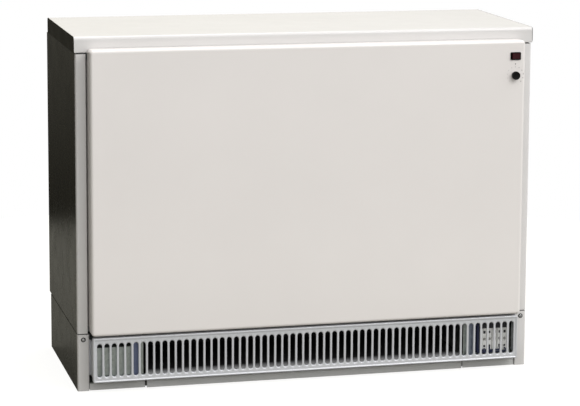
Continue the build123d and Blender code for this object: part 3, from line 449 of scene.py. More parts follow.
def outside(graph, x, y):
    """One away from the heater's footprint and nought under it."""
    low, high = cad_box
    parts = []
    footprint = (
        (x, low.x + FOOT_SIDE, high.x - FOOT_SIDE),
        (y, low.y + FOOT_FRONT, high.y - FOOT_REAR),
    )
    for value, first, last in footprint:
        shifted = graph.add("ShaderNodeMath", {0: value, 1: (first + last) / 2}, operation="SUBTRACT")
        far = graph.add("ShaderNodeMath", {0: shifted.outputs["Value"]}, operation="ABSOLUTE")
        parts.append(
            graph.add(
                "ShaderNodeMath", {0: far.outputs["Value"], 1: (last - first) / 2}, operation="GREATER_THAN"
            ).outputs["Value"]
        )
    return graph.add("ShaderNodeMath", {0: parts[0], 1: parts[1]}, operation="MAXIMUM").outputs["Value"]


def studio_world():
    """Soft light graded from the dim left to the bright right and top, and white where the camera looks.

    Mirrored rays see it no brighter than a cap, but for a pale patch behind, so that pale tops don't clip.
    """
    world = bpy.data.worlds.new("studio")
    bpy.context.scene.world = world
    world.use_nodes = True
    world.node_tree.nodes.clear()
    graph = Graph(world.node_tree)
    ray = graph.add("ShaderNodeLightPath")
    coordinates = graph.add("ShaderNodeTexCoord")
    way = graph.add("ShaderNodeSeparateXYZ", {"Vector": coordinates.outputs["Generated"]})
    slant = graph.add(
        "ShaderNodeVectorMath", {0: coordinates.outputs["Generated"], 1: LIGHT_WAY}, operation="DOT_PRODUCT"
    ).outputs["Value"]
    upper = between(graph, slant, SKY_DIM, SKY_BRIGHT, LIGHT_STEPS)
    horizon = between(graph, way.outputs["Z"], 0.0, 1.0, HORIZON_STEPS)
    level = graph.add("ShaderNodeMix", {"Factor": horizon, 2: SKY_BELOW, 3: upper}, data_type="FLOAT")
    tone = blend_colours(graph, between(graph, slant, 0, 1, TONE_STEPS), DIM_TONE, (1, 1, 1))
    behind = between(graph, way.outputs["Y"], 0.0, SKY_BEHIND, BEHIND_STEPS)
    raised = between(graph, way.outputs["Z"], 0.0, 1.0, RAISED_STEPS)
    rightward = between(graph, way.outputs["X"], 0.0, 1.0, RIGHTWARD_STEPS)
    corner = graph.add("ShaderNodeMath", {0: raised, 1: rightward}, operation="MULTIPLY")
    glow = graph.add("ShaderNodeMath", {0: corner.outputs["Value"], 1: behind}, operation="MULTIPLY")
    capped = graph.add("ShaderNodeMath", {0: level.outputs[0], 1: SKY_MIRRORED}, operation="MINIMUM")
    mirrored = graph.add(
        "ShaderNodeMath", {0: capped.outputs["Value"], 1: glow.outputs["Value"]}, operation="MAXIMUM"
    )
    strength = graph.add(
        "ShaderNodeMix",
        {"Factor": ray.outputs["Is Glossy Ray"], 2: level.outputs[0], 3: mirrored.outputs["Value"]},
        data_type="FLOAT",
    )
    light = graph.add("ShaderNodeBackground", {"Color": tone, "Strength": strength.outputs[0]})
    white = graph.add("ShaderNodeBackground", {"Color": (1, 1, 1, 1), "Strength": 1.0})
    choose = graph.add("ShaderNodeMixShader")
    graph.link(ray.outputs["Is Camera Ray"], choose.inputs["Fac"])
    graph.link(light.outputs["Background"], choose.inputs[1])
    graph.link(white.outputs["Background"], choose.inputs[2])
    output = graph.add("ShaderNodeOutputWorld")
    graph.link(choose.outputs["Shader"], output.inputs["Surface"])


# The outlet grille's own sizes, inside the box of the node that it replaces
SIZES = {
    "grille_side_gap": 3.5 * MM,
    "grille_corner": 3.0 * MM,
    "grille_top_lift": 1.6 * MM,
    "grille_return": 12.0 * MM,
    "rim_width": 4.0 * MM,
    "rim_height": 1.5 * MM,
    "rim_overlap": 1.0 * MM,
    "rim_sheet": 1.0 * MM,
    "rim_crown": 1.5 * MM,
    "rim_wall": 1.2 * MM,
    "tab_margin": 8.0 * MM,
    "slot_pitch": 13.8 * MM,
    "slot_count": 60,
    "slot_width": 9.6 * MM,
    "slot_end_margin": 10.25 * MM,
    "slot_side_roll": 1.0 * MM,
    "slot_end_roll": 3.0 * MM,
    "slot_depth": 2.2 * MM,
    "slot_end_depth": 4.0 * MM,
    "grille_sheet": 0.8 * MM,
}
SLOT_END_STEPS = 12
ROLL_STEPS = 5
BEAD_STEPS = 6
CROWN_STEPS = 5
CORNER_STEPS = 6
RIM_SLACK = 0.1 * MM
# Edges sharper than this many degrees stay crisp
CRISP_ANGLE = 30.0


def put_in_scene(name, mesh):
    """A new object for a mesh, linked to the scene."""
    piece = bpy.data.objects.new(name, mesh)
    bpy.context.scene.collection.objects.link(piece)
    return piece


def smoothed(mesh, angle=CRISP_ANGLE):
    """Smooth shading, with edges sharper than the angle kept crisp."""
    mesh.polygons.foreach_set("use_smooth", [True] * len(mesh.polygons))
    mesh.set_sharp_from_angle(angle=radians(angle))


def mesh_from(name, form, finish=None, angle=CRISP_ANGLE):
    """An object made of a bmesh: doubles merged, faces turned outwards, smooth but for its sharp edges."""
    bmesh.ops.remove_doubles(form, verts=form.verts, dist=MERGE_DISTANCE)
    bmesh.ops.dissolve_degenerate(form, edges=form.edges, dist=MERGE_DISTANCE)
    bmesh.ops.recalc_face_normals(form, faces=form.faces)
    mesh = bpy.data.meshes.new(name)
    form.to_mesh(mesh)
    form.free()
    smoothed(mesh, angle)
    if finish:
        mesh.materials.append(FINISHES[finish])
    return put_in_scene(name, mesh)


def loft(form, rings, closed_path=False, caps=False):
    """Faces between rings of points, each ring as long as the next."""
    rows = [[form.verts.new(point) for point in ring] for ring in rings]
    pairs = list(zip(rows, rows[1:])) + ([(rows[-1], rows[0])] if closed_path else [])
    for first, second in pairs:
        count = len(first)
        for index in range(count):
            following = (index + 1) % count
            form.faces.new((first[index], first[following], second[following], second[index]))
    if caps:
        form.faces.new(rows[0])
        form.faces.new(rows[-1])


def joined(name, pieces):
    """One object from several, with their materials kept."""
    bpy.ops.object.select_all(action="DESELECT")
    for piece in pieces:
        piece.select_set(True)
    bpy.context.view_layer.objects.active = pieces[0]
    bpy.ops.object.join()
    pieces[0].name = name
    pieces[0].data.name = name
    return pieces[0]


def placed(piece, body, finish, *nodes):
    """The piece rides on its body and stands for the nodes, which are hidden. The finish is not used."""
    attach(piece, body)
    if nodes:
        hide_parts(*nodes)
    return piece


def growing_tree(name, inputs):
    """A geometry node tree with named inputs. Returns the tree, its graph and its input node."""
    tree = bpy.data.node_groups.new(name, "GeometryNodeTree")
    tree.interface.new_socket("Geometry", in_out="INPUT", socket_type="NodeSocketGeometry")
    for label, kind in inputs.items():
        tree.interface.new_socket(label, in_out="INPUT", socket_type="NodeSocket" + kind)
    tree.interface.new_socket("Geometry", in_out="OUTPUT", socket_type="NodeSocketGeometry")
    graph = Graph(tree)
    return tree, graph, graph.add("NodeGroupInput")


def close_tree(graph, instances, material_socket):
    """Ends a tree with real geometry and its material."""
    real = graph.add("GeometryNodeRealizeInstances", {"Geometry": instances})
    painted = graph.add(
        "GeometryNodeSetMaterial", {"Geometry": real.outputs["Geometry"], "Material": material_socket}
    )
    end = graph.add("NodeGroupOutput")
    graph.link(painted.outputs["Geometry"], end.inputs["Geometry"])


def grown(name, tree, values, base=None):
    """The plain mesh that a node tree grows, with its inputs set by their identifiers."""
    host = put_in_scene(name, base or bpy.data.meshes.new(name))
    modifier = host.modifiers.new("grow", "NODES")
    modifier.node_group = tree
    for item in tree.interface.items_tree:
        if item.in_out == "INPUT" and item.name in values:
            modifier[item.identifier] = values[item.name]
    depsgraph = bpy.context.evaluated_depsgraph_get()
    mesh = bpy.data.meshes.new_from_object(host.evaluated_get(depsgraph), depsgraph=depsgraph)
    host.modifiers.remove(modifier)
    host.data = mesh
    mesh.name = name
    return host


def row_tree():
    """Copies of a tile in a row along X, centred on the middle."""
    tree, graph, source = growing_tree(
        "row", {"Tile": "Object", "Count": "Int", "Pitch": "Float", "Finish": "Material"}
    )
    tile = graph.add("GeometryNodeObjectInfo", {"Object": source.outputs["Tile"]})
    offset = graph.add("ShaderNodeCombineXYZ", {"X": source.outputs["Pitch"]})
    gaps = graph.add("ShaderNodeMath", {0: source.outputs["Count"], 1: 1.0}, operation="SUBTRACT")
    half_span = graph.add(
        "ShaderNodeMath", {0: gaps.outputs["Value"], 1: source.outputs["Pitch"]}, operation="MULTIPLY"
    )
    left = graph.add("ShaderNodeMath", {0: half_span.outputs["Value"], 1: -0.5}, operation="MULTIPLY")
    start = graph.add("ShaderNodeCombineXYZ", {"X": left.outputs["Value"]})
    line = graph.add(
        "GeometryNodeMeshLine",
        {
            "Count": source.outputs["Count"],
            "Start Location": start.outputs["Vector"],
            "Offset": offset.outputs["Vector"],
        },
    )
    copies = graph.add(
        "GeometryNodeInstanceOnPoints", {"Points": line.outputs["Mesh"], "Instance": tile.outputs["Geometry"]}
    )
    close_tree(graph, copies.outputs["Instances"], source.outputs["Finish"])
    return tree


def scatter_tree():
    """A fixing at each point of the base mesh, turned to face the way the point says, at a random turn."""
    tree, graph, source = growing_tree(
        "fixings", {"Fixing": "Object", "Turn Seed": "Int", "Most Turn": "Float", "Finish": "Material"}
    )
    fixing = graph.add("GeometryNodeObjectInfo", {"Object": source.outputs["Fixing"]})
    facing = graph.add("GeometryNodeInputNamedAttribute", {"Name": "facing"}, data_type="FLOAT_VECTOR")
    size = graph.add("GeometryNodeInputNamedAttribute", {"Name": "size"}, data_type="FLOAT")
    turn = graph.add("FunctionNodeAlignRotationToVector", {"Vector": facing.outputs["Attribute"]}, axis="Z")
    chance = graph.add(
        "FunctionNodeRandomValue",
        {"Max": source.outputs["Most Turn"], "Seed": source.outputs["Turn Seed"]},
        data_type="FLOAT",
    )
    copies = graph.add(
        "GeometryNodeInstanceOnPoints",
        {
            "Points": source.outputs["Geometry"],
            "Instance": fixing.outputs["Geometry"],
            "Rotation": turn.outputs["Rotation"],
            "Scale": size.outputs["Attribute"],
        },
    )
    spin = graph.add("ShaderNodeCombineXYZ", {"Z": chance.outputs[1]})
    turned = graph.add(
        "GeometryNodeRotateInstances",
        {"Instances": copies.outputs["Instances"], "Rotation": spin.outputs["Vector"]},
    )
    close_tree(graph, turned.outputs["Instances"], source.outputs["Finish"])
    return tree


def slot_half_length():
    """Half of a slot's length, from the grille's height less the margin at each end."""
    low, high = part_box("grille")
    return (high.z - low.z) / 2 - SIZES["slot_end_margin"]


def slot_outline():
    """Points round an upright slot's opening, each with the direction that it faces."""
    width = SIZES["slot_width"]
    reach = slot_half_length() - width / 2
    points = []
    for end in (1, -1):
        for step in range(SLOT_END_STEPS + 1):
            angle = pi * step / SLOT_END_STEPS + (0 if end > 0 else pi)
            way = (cos(angle), sin(angle))
            points.append((way, (width / 2 * way[0], end * reach + width / 2 * way[1])))
    return points


def slot_tile(top, face):
    """One slot with its edges rolled inwards, in a field as wide as the pitch and up to the top height."""
    form = bmesh.new()
    half_pitch = SIZES["slot_pitch"] / 2
    reach = slot_half_length() - SIZES["slot_width"] / 2
    outline = slot_outline()
    edge = []
    for way, _ in outline:
        end = 1 if way[1] >= 0 else -1
        across, along = abs(way[0]), abs(way[1])
        if across >= along - NEARLY_NOUGHT:
            x = half_pitch if way[0] > 0 else -half_pitch
            z = end * (reach + (top - reach) * along / max(across, NEARLY_NOUGHT))
        else:
            x = half_pitch * way[0] / along
            z = end * top
        edge.append((x, face, z))
    rings = [edge]
    wider = SIZES["slot_end_roll"] - SIZES["slot_side_roll"]
    for step in range(ROLL_STEPS + 1):
        angle = pi / 2 * step / ROLL_STEPS
        ring = []
        for way, (x, z) in outline:
            roll = SIZES["slot_side_roll"] + wider * way[1] ** 2
            out = roll * (1 - sin(angle))
            ring.append((x + out * way[0], face + roll * (1 - cos(angle)), z + out * way[1]))
        rings.append(ring)
    wall, deeper = face + SIZES["slot_depth"], SIZES["slot_end_depth"] - SIZES["slot_depth"]
    rings.append([(x, wall + deeper * way[1] ** 2, z) for way, (x, z) in outline])
    loft(form, rings)
    return mesh_from("slot_tile", form)


def rounded_ring(half_x, half_z, corner, inset, y):
    """Points round a rectangle with rounded corners, drawn in by the inset."""
    radius = max(corner - inset, 0.0)
    points = []
    for quarter, (side_x, side_z) in enumerate(((1, 1), (-1, 1), (-1, -1), (1, -1))):
        centre = (side_x * (half_x - inset - radius), side_z * (half_z - inset - radius))
        for step in range(CORNER_STEPS + 1):
            angle = pi / 2 * (quarter + step / CORNER_STEPS)
            points.append((centre[0] + radius * cos(angle), y, centre[1] + radius * sin(angle)))
    return points


def grille_field(row, half_x, half_z, face):
    """The grille's sheet: a row of slots, drawn out at both ends to reach under the rim."""
    tile = slot_tile(half_z - SIZES["rim_width"] + SIZES["rim_overlap"], face)
    settings = {
        "Tile": tile,
        "Count": SIZES["slot_count"],
        "Pitch": SIZES["slot_pitch"],
        "Finish": FINISHES["grille_enamel"],
    }
    slots = grown("grille_field", row, settings)
    bpy.data.objects.remove(tile)
    form = bmesh.new()
    form.from_mesh(slots.data)
    bmesh.ops.remove_doubles(form, verts=form.verts, dist=MERGE_DISTANCE)
    side = SIZES["slot_count"] * SIZES["slot_pitch"] / 2
    ends = [
        edge for edge in form.edges
        if edge.is_boundary and all(abs(abs(vert.co.x) - side) < MERGE_DISTANCE for vert in edge.verts)
    ]
    reach = half_x - SIZES["rim_width"] + SIZES["rim_overlap"] - side
    outer = {}
    for edge in ends:
        second = edge.link_loops[0].vert
        first = edge.other_vert(second)
        for vert in (first, second):
            if vert not in outer:
                x = vert.co.x + (reach if vert.co.x > 0 else -reach)
                outer[vert] = form.verts.new((x, vert.co.y, vert.co.z))
        form.faces.new((first, second, outer[second], outer[first]), edge.link_faces[0])
    bmesh.ops.recalc_face_normals(form, faces=form.faces)
    if sum(panel.normal.y for panel in form.faces) > 0:
        bmesh.ops.reverse_faces(form, faces=form.faces)
    form.to_mesh(slots.data)
    form.free()
    thicken(slots, SIZES["grille_sheet"])
    return slots


def grille_rim(half_x, half_z, face):
    """The raised rim: a bead that turns over a crown into the folded return, and is taller along its top."""
    width, height = SIZES["rim_width"], SIZES["rim_height"]
    deep, wall = SIZES["grille_return"], height + SIZES["rim_wall"]
    sheet, crown = SIZES["rim_sheet"], SIZES["rim_crown"]
    bead = width - crown
    bead_turns = [pi / 2 * step / BEAD_STEPS for step in range(BEAD_STEPS)]
    crown_turns = [pi / 2 * step / CROWN_STEPS for step in range(CROWN_STEPS + 1)]
    profile = [(bead * step / BEAD_STEPS, height * (1 - sin(turn))) for step, turn in enumerate(bead_turns)]
    profile += [(bead + crown * sin(turn), crown - crown * cos(turn)) for turn in crown_turns]
    profile += [(width, deep), (width - sheet, deep), (width - sheet, wall), (0.0, wall)]
    corner = SIZES["grille_corner"]
    form = bmesh.new()
    rings = [rounded_ring(half_x, half_z, corner, width - out, face + depth) for out, depth in profile]
    loft(form, rings, closed_path=True)
    for vert in form.verts:
        if vert.co.z > half_z - width - RIM_SLACK:
            vert.co.z += SIZES["grille_top_lift"] * (vert.co.z - half_z + width) / width
    return mesh_from("grille_rim", form, "grille_enamel")


def grille_tabs(half_x, half_z, face, high):
    """The tabs at both ends, which run back from the rim's return and bend out to the box's corners."""
    sheet = SIZES["rim_sheet"]
    front = face + SIZES["grille_return"] - sheet
    reach = half_z - SIZES["tab_margin"]
    bent_tab = (
        (half_x - sheet, front),
        (half_x - sheet, high.y),
        (high.x, high.y),
        (high.x, high.y - sheet),
        (half_x, high.y - sheet),
        (half_x, front),
    )
    form = bmesh.new()
    for sign in (-1, 1):
        loft(form, [[(sign * x, y, z) for x, y in bent_tab] for z in (-reach, reach)], caps=True)
    return mesh_from("grille_tabs", form, "grille_enamel")


def grille(row):
    """The outlet grille: a field of rolled slots in a raised rim whose outer edge folds back."""
    low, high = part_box("grille")
    half_x = high.x - SIZES["grille_side_gap"]
    half_z = (high.z - low.z) / 2
    slots = grille_field(row, half_x, half_z, low.y + SIZES["rim_height"])
    rim = grille_rim(half_x, half_z, low.y)
    tabs = grille_tabs(half_x, half_z, low.y, high)
    whole = joined("outlet_grille", [rim, tabs, slots])
    whole.data.transform(Matrix.Translation((0, 0, (low.z + high.z) / 2)))
    smoothed(whole.data)
    return placed(whole, "casing", "grille_enamel", "grille")


def add_box(form, low, high):
    """A closed box between two corners."""
    xs, ys, zs = zip(low, high)
    corners = {
        (i, j, k): form.verts.new((sorted(xs)[i], sorted(ys)[j], sorted(zs)[k]))
        for i in (0, 1) for j in (0, 1) for k in (0, 1)
    }
    for axis in range(3):
        for end in (0, 1):
            loop = [key for key in corners if key[axis] == end]
            first, second = [other for other in range(3) if other != axis]
            loop.sort(key=lambda key: (key[first], key[second] if key[first] == 0 else -key[second]))
            form.faces.new([corners[key] for key in loop])


def boxed(name, low, high, finish=None):
    """A plain box between two corners, as an object."""
    form = bmesh.new()
    add_box(form, low, high)
    return mesh_from(name, form, finish)


def thicken(piece, thickness):
    """Gives a sheet its wall, away from the side that its faces look to."""
    modifier = piece.modifiers.new("wall", "SOLIDIFY")
    modifier.thickness = thickness
    modifier.offset = -1.0
    modifier.use_even_offset = True
    apply_modifiers(piece)


def apply_modifiers(piece):
    """Turns a piece's modifiers into its plain mesh."""
    depsgraph = bpy.context.evaluated_depsgraph_get()
    mesh = bpy.data.meshes.new_from_object(piece.evaluated_get(depsgraph), depsgraph=depsgraph)
    piece.modifiers.clear()
    piece.data = mesh


def carve(piece, cutter):
    """Cuts one solid out of another and drops the cutter."""
    modifier = piece.modifiers.new("cut", "BOOLEAN")
    modifier.object = cutter
    modifier.operation = "DIFFERENCE"
    modifier.solver = "EXACT"
    modifier.use_self = True
    apply_modifiers(piece)
    bpy.data.objects.remove(cutter)


def turned_form(profile, steps, flute=None):
    """A round form about the Z axis from (radius, height) points. A flute is a factor on the radius."""
    form = bmesh.new()
    rings = []
    for radius, height in profile:
        ring = []
        for step in range(steps):
            angle = 2 * pi * step / steps
            own = radius * (flute(angle, height) if flute else 1.0)
            ring.append((own * cos(angle), own * sin(angle), height))
        rings.append(ring)
    loft(form, rings, caps=True)
    return form


# A screw head's form, as parts of its radius, of its height and of its drive's half length
HEAD_STEPS = 28
HEAD_CRISP = 50
DOME_STEPS = 6
DOME_FLAT = 0.05
DOME_FOOT = 0.35
CROSS_FLOOR = 0.35
CROSS_WIDTH = 0.22
HEAD_SUNK = 0.1 * MM


def screw_head(radius, height, washer_height, driver):
    """A domed head with a cross recess, looking along +Z and standing on a washer's height."""
    dome = [(DOME_FLAT * radius, washer_height + height)]
    for turn in [pi / 2 * step / DOME_STEPS for step in range(1, DOME_STEPS + 1)]:
        rise = height * (DOME_FOOT + (1 - DOME_FOOT) * cos(turn))
        dome.append((radius * sin(turn), washer_height + rise))
    dome.append((radius, washer_height - HEAD_SUNK))
    head = mesh_from("head", turned_form(dome, HEAD_STEPS), angle=HEAD_CRISP)
    floor, over = washer_height + CROSS_FLOOR * height, washer_height + 2 * height
    cut = bmesh.new()
    for x, y in ((driver, CROSS_WIDTH * driver), (CROSS_WIDTH * driver, driver)):
        add_box(cut, (-x, -y, floor), (x, y, over))
    carve(head, mesh_from("cut", cut))
    return head


# Fixings: the seed of their turns and the ways that they face
FIXING_SEED = 7
FORWARD = (0.0, -1.0, 0.0)
BACKWARD = (0.0, 1.0, 0.0)
# Column screws: the washers' heights, and as parts of their outer radius their hole, their top and the head
WASHER_HEIGHT = 0.8 * MM
WASHER_EDGE = 0.6 * MM
WASHER_HOLE = 0.4
WASHER_TOP = 0.93
COLUMN_HEAD = 0.66
WASHER_STEPS = 40
COLUMN_DRIVE = 2.0 * MM
SHANK_RADIUS = 1.9 * MM
SHANK_STEPS = 20
# Rear screws: radius, height, washer's height and drive, then their places
REAR_SCREW = (3.6 * MM, 1.8 * MM, 0.6 * MM, 1.7 * MM)
REAR_INSET = 12 * MM
REAR_COLUMNS = 5
PAN_SCREW_DROP = 8 * MM


def fixing_points(name, places, facing, sizes=None):
    """A mesh of loose points, each with the way that its fixing faces and its size."""
    mesh = bpy.data.meshes.new(name)
    mesh.from_pydata(places, [], [])
    ways = mesh.attributes.new("facing", "FLOAT_VECTOR", "POINT")
    ways.data.foreach_set("vector", [part for _ in places for part in facing])
    scale = mesh.attributes.new("size", "FLOAT", "POINT")
    scale.data.foreach_set("value", sizes or [1.0] * len(places))
    return mesh


def fixings(name, tree, template, places, facing, finish, most_turn=0.0, sizes=None):
    """Copies of a template at the places, as one plain piece of the casing. The template is dropped."""
    piece = grown(
        name,
        tree,
        {"Fixing": template, "Turn Seed": FIXING_SEED, "Most Turn": most_turn, "Finish": FINISHES[finish]},
        fixing_points(name, places, facing, sizes),
    )
    bpy.data.objects.remove(template)
    smoothed(piece.data)
    return placed(piece, "casing", finish)


def column_screws(tree):
    """The two round-headed screws of the base columns on their dark washers."""
    low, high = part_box("column_screws")
    radius = (high.z - low.z) / 2
    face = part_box("left_base_column")[0].y
    places = [(side * (high.x - radius), face, (low.z + high.z) / 2) for side in (-1, 1)]
    washer = [
        (WASHER_HOLE * radius, 0),
        (radius, 0),
        (radius, WASHER_EDGE),
        (WASHER_TOP * radius, WASHER_HEIGHT),
        (WASHER_HOLE * radius, WASHER_HEIGHT),
    ]
    template = mesh_from("washer", turned_form(washer, WASHER_STEPS))
    fixings("column_screw_washers", tree, template, places, FORWARD, "black_plastic")
    head = screw_head(COLUMN_HEAD * radius, face - low.y - WASHER_HEIGHT, WASHER_HEIGHT, COLUMN_DRIVE)
    ends = [(SHANK_RADIUS, -(high.y - face)), (SHANK_RADIUS, WASHER_HEIGHT)]
    shank = mesh_from("shank", turned_form(ends, SHANK_STEPS))
    screw = joined("screw", [head, shank])
    screws = fixings("column_screw_heads", tree, screw, places, FORWARD, "bright_steel", pi)
    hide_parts("column_screws")


def rear_screws(tree):
    """The self-tapping screws round the rear panel and along the base pan's rear wall."""
    low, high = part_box("rear_panel")
    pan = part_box("base_pan")[1]
    left, bottom, top = low.x + REAR_INSET, low.z + REAR_INSET, high.z - REAR_INSET
    span = high.x - low.x - 2 * REAR_INSET
    across = [left + span * step / (REAR_COLUMNS - 1) for step in range(REAR_COLUMNS)]
    rows = (
        ("rear_panel_screws", [(x, high.y, z) for x in across for z in (bottom, top)]),
        ("pan_screws", [(x, pan.y, pan.z - PAN_SCREW_DROP) for x in across]),
    )
    for name, places in rows:
        fixings(name, tree, screw_head(*REAR_SCREW), places, BACKWARD, "bright_steel", pi)


def knob_centre():
    """The middle of the thermostat knob's box, which its turning axis goes through."""
    low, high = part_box("thermostat_knob")
    return (low + high) / 2


# The knob: points round it, its crisp angle in degrees, its flutes, and its pointer's groove
KNOB_STEPS = 144
KNOB_CRISP = 40
FLUTES = 36
FLUTE_DEPTH = 0.022
FLUTE_ENDS = (1.6 * MM, 1.0 * MM)
POINTER_HALF_WIDTH = 0.5 * MM
POINTER_DEPTH = 0.9 * MM
POINTER_ENDS = (0.45, 1.1)
POINTER_OVER = 1 * MM


def knob():
    """The thermostat knob: fluted side, dished face and a pressed-in pointer."""
    low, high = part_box("thermostat_knob")
    radius = (high.x - low.x) / 2
    tall = high.y - low.y
    lower, upper = FLUTE_ENDS[0], tall - FLUTE_ENDS[1]

    def flutes(angle, height):
        return 1 - FLUTE_DEPTH * (0.5 + 0.5 * cos(FLUTES * angle)) if lower <= height <= upper else 1.0

    # From the middle of the back to the middle of the face: skirt, fluted side, rounded edge and dish
    profile = [
        (0.4 * MM, 0),
        (radius - 0.7 * MM, 0),
        (radius - 0.5 * MM, 0.25 * MM),
        (radius - 0.5 * MM, 1.1 * MM),
        (radius - 0.1 * MM, 1.35 * MM),
        (radius, lower),
        (radius, upper),
        (radius - 0.25 * MM, tall - 0.45 * MM),
        (radius - 0.7 * MM, tall - 0.1 * MM),
        (radius - 1.2 * MM, tall),
        (radius - 1.9 * MM, tall - 0.05 * MM),
        (radius - 2.5 * MM, tall - 0.4 * MM),
        (0.4 * radius, tall - 0.6 * MM),
        (0.4 * MM, tall - 0.6 * MM),
    ]
    body = mesh_from("knob", turned_form(profile, KNOB_STEPS, flutes), "black_plastic", KNOB_CRISP)
    inner, outer = (part * radius for part in POINTER_ENDS)
    bottom = (-POINTER_HALF_WIDTH, inner, tall - POINTER_DEPTH)
    carve(body, boxed("cut", bottom, (POINTER_HALF_WIDTH, outer, tall + POINTER_OVER)))
    centre = knob_centre()
    stand = Matrix.Translation((centre.x, high.y, centre.z)) @ Matrix.Rotation(pi / 2, 4, "X")
    body.data.transform(stand)
    smoothed(body.data, KNOB_CRISP)
    body.name = "fluted_knob"
    return placed(body, "knob", "black_plastic", "thermostat_knob")


# The dots round the knob: their circle, their number, the scale's end, and their least size and its growth
SCALE_REACH = 16.5 * MM
SCALE_DOTS = 11
SCALE_END = radians(135)
DOT_LEAST = 0.6
DOT_GROWTH = 0.6
# Profiles of (radius, height) points, each with the number of steps round it
DOT = ([(0.2 * MM, 0), (0.9 * MM, 0), (0.8 * MM, 0.12 * MM), (0.2 * MM, 0.12 * MM)], 16)
STUD = (
    [
        (0.2 * MM, -0.5 * MM),
        (1.0 * MM, -0.5 * MM),
        (1.0 * MM, 0.2 * MM),
        (0.7 * MM, 0.5 * MM),
        (0.1 * MM, 0.6 * MM),
    ],
    20,
)
STUD_HEIGHT = 605 * MM


def scale_marks(tree):
    """Plain dots round the knob that grow from least to most, and the small dark stud above them."""
    centre = knob_centre()
    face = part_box("front_panel")[0].y
    places, sizes = [], []
    for step in range(SCALE_DOTS):
        angle = -SCALE_END + 2 * SCALE_END * step / (SCALE_DOTS - 1)
        places.append((centre.x + SCALE_REACH * sin(angle), face, centre.z + SCALE_REACH * cos(angle)))
        sizes.append(DOT_LEAST + DOT_GROWTH * step / (SCALE_DOTS - 1))
    dot = mesh_from("dot", turned_form(*DOT))
    fixings("scale_dots", tree, dot, places, FORWARD, "scale_grey", sizes=sizes)
    stud = mesh_from("stud", turned_form(*STUD))
    fixings("panel_stud", tree, stud, [(centre.x, face, STUD_HEIGHT)], FORWARD, "black_plastic")


# The terminal block: its poles, its clamp screws (profile and steps, depth and slot), its wire entries (box,
# inset from the block's edges, least size and its growth) and its cover flap
POLES = 5
CLAMP = (
    [
        (0.2 * MM, -1 * MM),
        (2.7 * MM, -1 * MM),
        (2.7 * MM, 1.4 * MM),
        (2.3 * MM, 1.8 * MM),
        (0.2 * MM, 1.9 * MM),
    ],
    24,
)
CLAMP_DEPTH = 4 * MM
CLAMP_SLOT = ((-4 * MM, -0.45 * MM, 1.0 * MM), (4 * MM, 0.45 * MM, 3 * MM))
ENTRY = ((-2.4 * MM, -3.0 * MM, 0), (2.4 * MM, 3.0 * MM, 0.5 * MM))
ENTRY_INSET = 9 * MM
ENTRY_LEAST = 0.7
ENTRY_GROWTH = 0.25
FLAP_LAP = 1 * MM
FLAP_THICKNESS = 1.5 * MM
FLAP_RISE = 18 * MM


def pole_places(low, high):
    """The middle of each of the terminal block's poles along X."""
    return [low.x + (pole + 0.5) * ((high.x - low.x) / POLES) for pole in range(POLES)]


def terminal_fittings(tree):
    """Slotted clamp screws down in the terminal block's recesses, dark wire entries, and a cover flap."""
    low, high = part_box("terminal_block")
    poles = pole_places(low, high)
    places = [(x, low.y + CLAMP_DEPTH, (low.z + high.z) / 2) for x in poles]
    head = mesh_from("clamp", turned_form(*CLAMP))
    carve(head, boxed("cut", *CLAMP_SLOT))
    fixings("clamp_screws", tree, head, places, FORWARD, "bright_steel", pi)
    entry = boxed("entry", *ENTRY)
    rows = [(x, low.y, z) for x in poles for z in (low.z + ENTRY_INSET, high.z - ENTRY_INSET)]
    sizes = [ENTRY_LEAST + ENTRY_GROWTH * ((3 * index) % 4) / 3 for index in range(len(rows))]
    fixings("wire_entries", tree, entry, rows, FORWARD, "entry_black", sizes=sizes)
    corner = (low.x - FLAP_LAP, low.y - FLAP_THICKNESS, high.z - FLAP_LAP)
    flap = boxed("terminal_flap", corner, (high.x + FLAP_LAP, low.y, high.z + FLAP_RISE), "entry_black")
    placed(flap, "casing", "entry_black")


# The tray's wires: radius, points round one and along a bend, and a way that none runs along
WIRE_RADIUS = 1.5 * MM
WIRE_SIDES = 10
WIRE_CRISP = 60
WIRE_BEND = 1.8 * MM
BEND_STEPS = 6
ASIDE = (0.12, 1.0, 0.07)
# Their route: from a root in the block, over a knee, along its foot in two rows, and up in three files
ROOT_DEPTH = 1 * MM
ROOT_RISE = 5 * MM
KNEE_RISE = 4 * MM
KNEE_RUN = 1 * MM
RUN_DROP = 1.0 * MM
RUN_ROW_RISE = 3.1 * MM
RUN_FRONT = 2 * MM
RISER_X = 338.5 * MM
RISER_STEP = 0.4 * MM


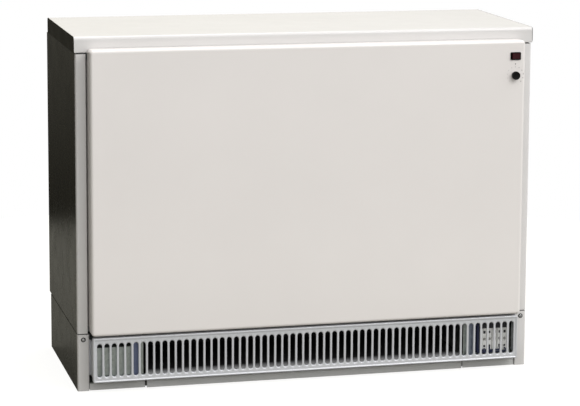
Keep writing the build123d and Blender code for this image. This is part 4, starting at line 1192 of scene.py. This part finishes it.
def tube_along(form, path):
    """A round wire along points, its rings turned with the path."""
    angles = [2 * pi * step / WIRE_SIDES for step in range(WIRE_SIDES)]
    rings = []
    for index, point in enumerate(path):
        before = path[max(index - 1, 0)]
        after = path[min(index + 1, len(path) - 1)]
        way = (after - before).normalized()
        side = way.cross(Vector(ASIDE)).normalized()
        other = way.cross(side)
        rings.append([point + WIRE_RADIUS * (cos(angle) * side + sin(angle) * other) for angle in angles])
    loft(form, rings, caps=True)


def rounded_path(corners):
    """Points along a route whose corners are rounded off."""
    corners = [Vector(corner) for corner in corners]
    points = [corners[0]]
    for before, corner, after in zip(corners, corners[1:], corners[2:]):
        start = corner + (before - corner).normalized() * WIRE_BEND
        end = corner + (after - corner).normalized() * WIRE_BEND
        for part in [step / BEND_STEPS for step in range(BEND_STEPS + 1)]:
            points.append((1 - part) ** 2 * start + 2 * part * (1 - part) * corner + part**2 * end)
    points.append(corners[-1])
    return points


def tray_wires():
    """Factory wires out of the terminal block's front, along its foot and up beside the tray's flange."""
    low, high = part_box("terminal_block")
    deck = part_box("core_deck")[0].z
    form = bmesh.new()
    for wire, pole_x in enumerate(pole_places(low, high)):
        row, lane = wire % 2, wire // 2
        run_z = low.z - RUN_DROP + RUN_ROW_RISE * row
        run_y = low.y - RUN_FRONT - lane * 2 * WIRE_RADIUS
        riser_x = RISER_X + (wire % 3) * 2 * WIRE_RADIUS
        riser_y = run_y - (wire // 3) * RISER_STEP
        corners = [
            (pole_x, low.y + ROOT_DEPTH, run_z + ROOT_RISE),
            (pole_x, run_y, run_z + KNEE_RISE),
            (pole_x - KNEE_RUN, run_y, run_z),
            (riser_x, riser_y, run_z),
            (riser_x, riser_y, deck),
        ]
        tube_along(form, rounded_path(corners))
    piece = mesh_from("tray_wires", form, "wire_sleeve", WIRE_CRISP)
    return placed(piece, "casing", "wire_sleeve")


camera()
studio_world()
studio_floor()
for settings in LAMPS:
    lamp(*settings)
bpy.context.scene.view_settings.view_transform = "Standard"
dress_nodes()
grille(row_tree())
FIXING_TREE = scatter_tree()
column_screws(FIXING_TREE)
rear_screws(FIXING_TREE)
knob()
scale_marks(FIXING_TREE)
terminal_fittings(FIXING_TREE)
tray_wires()
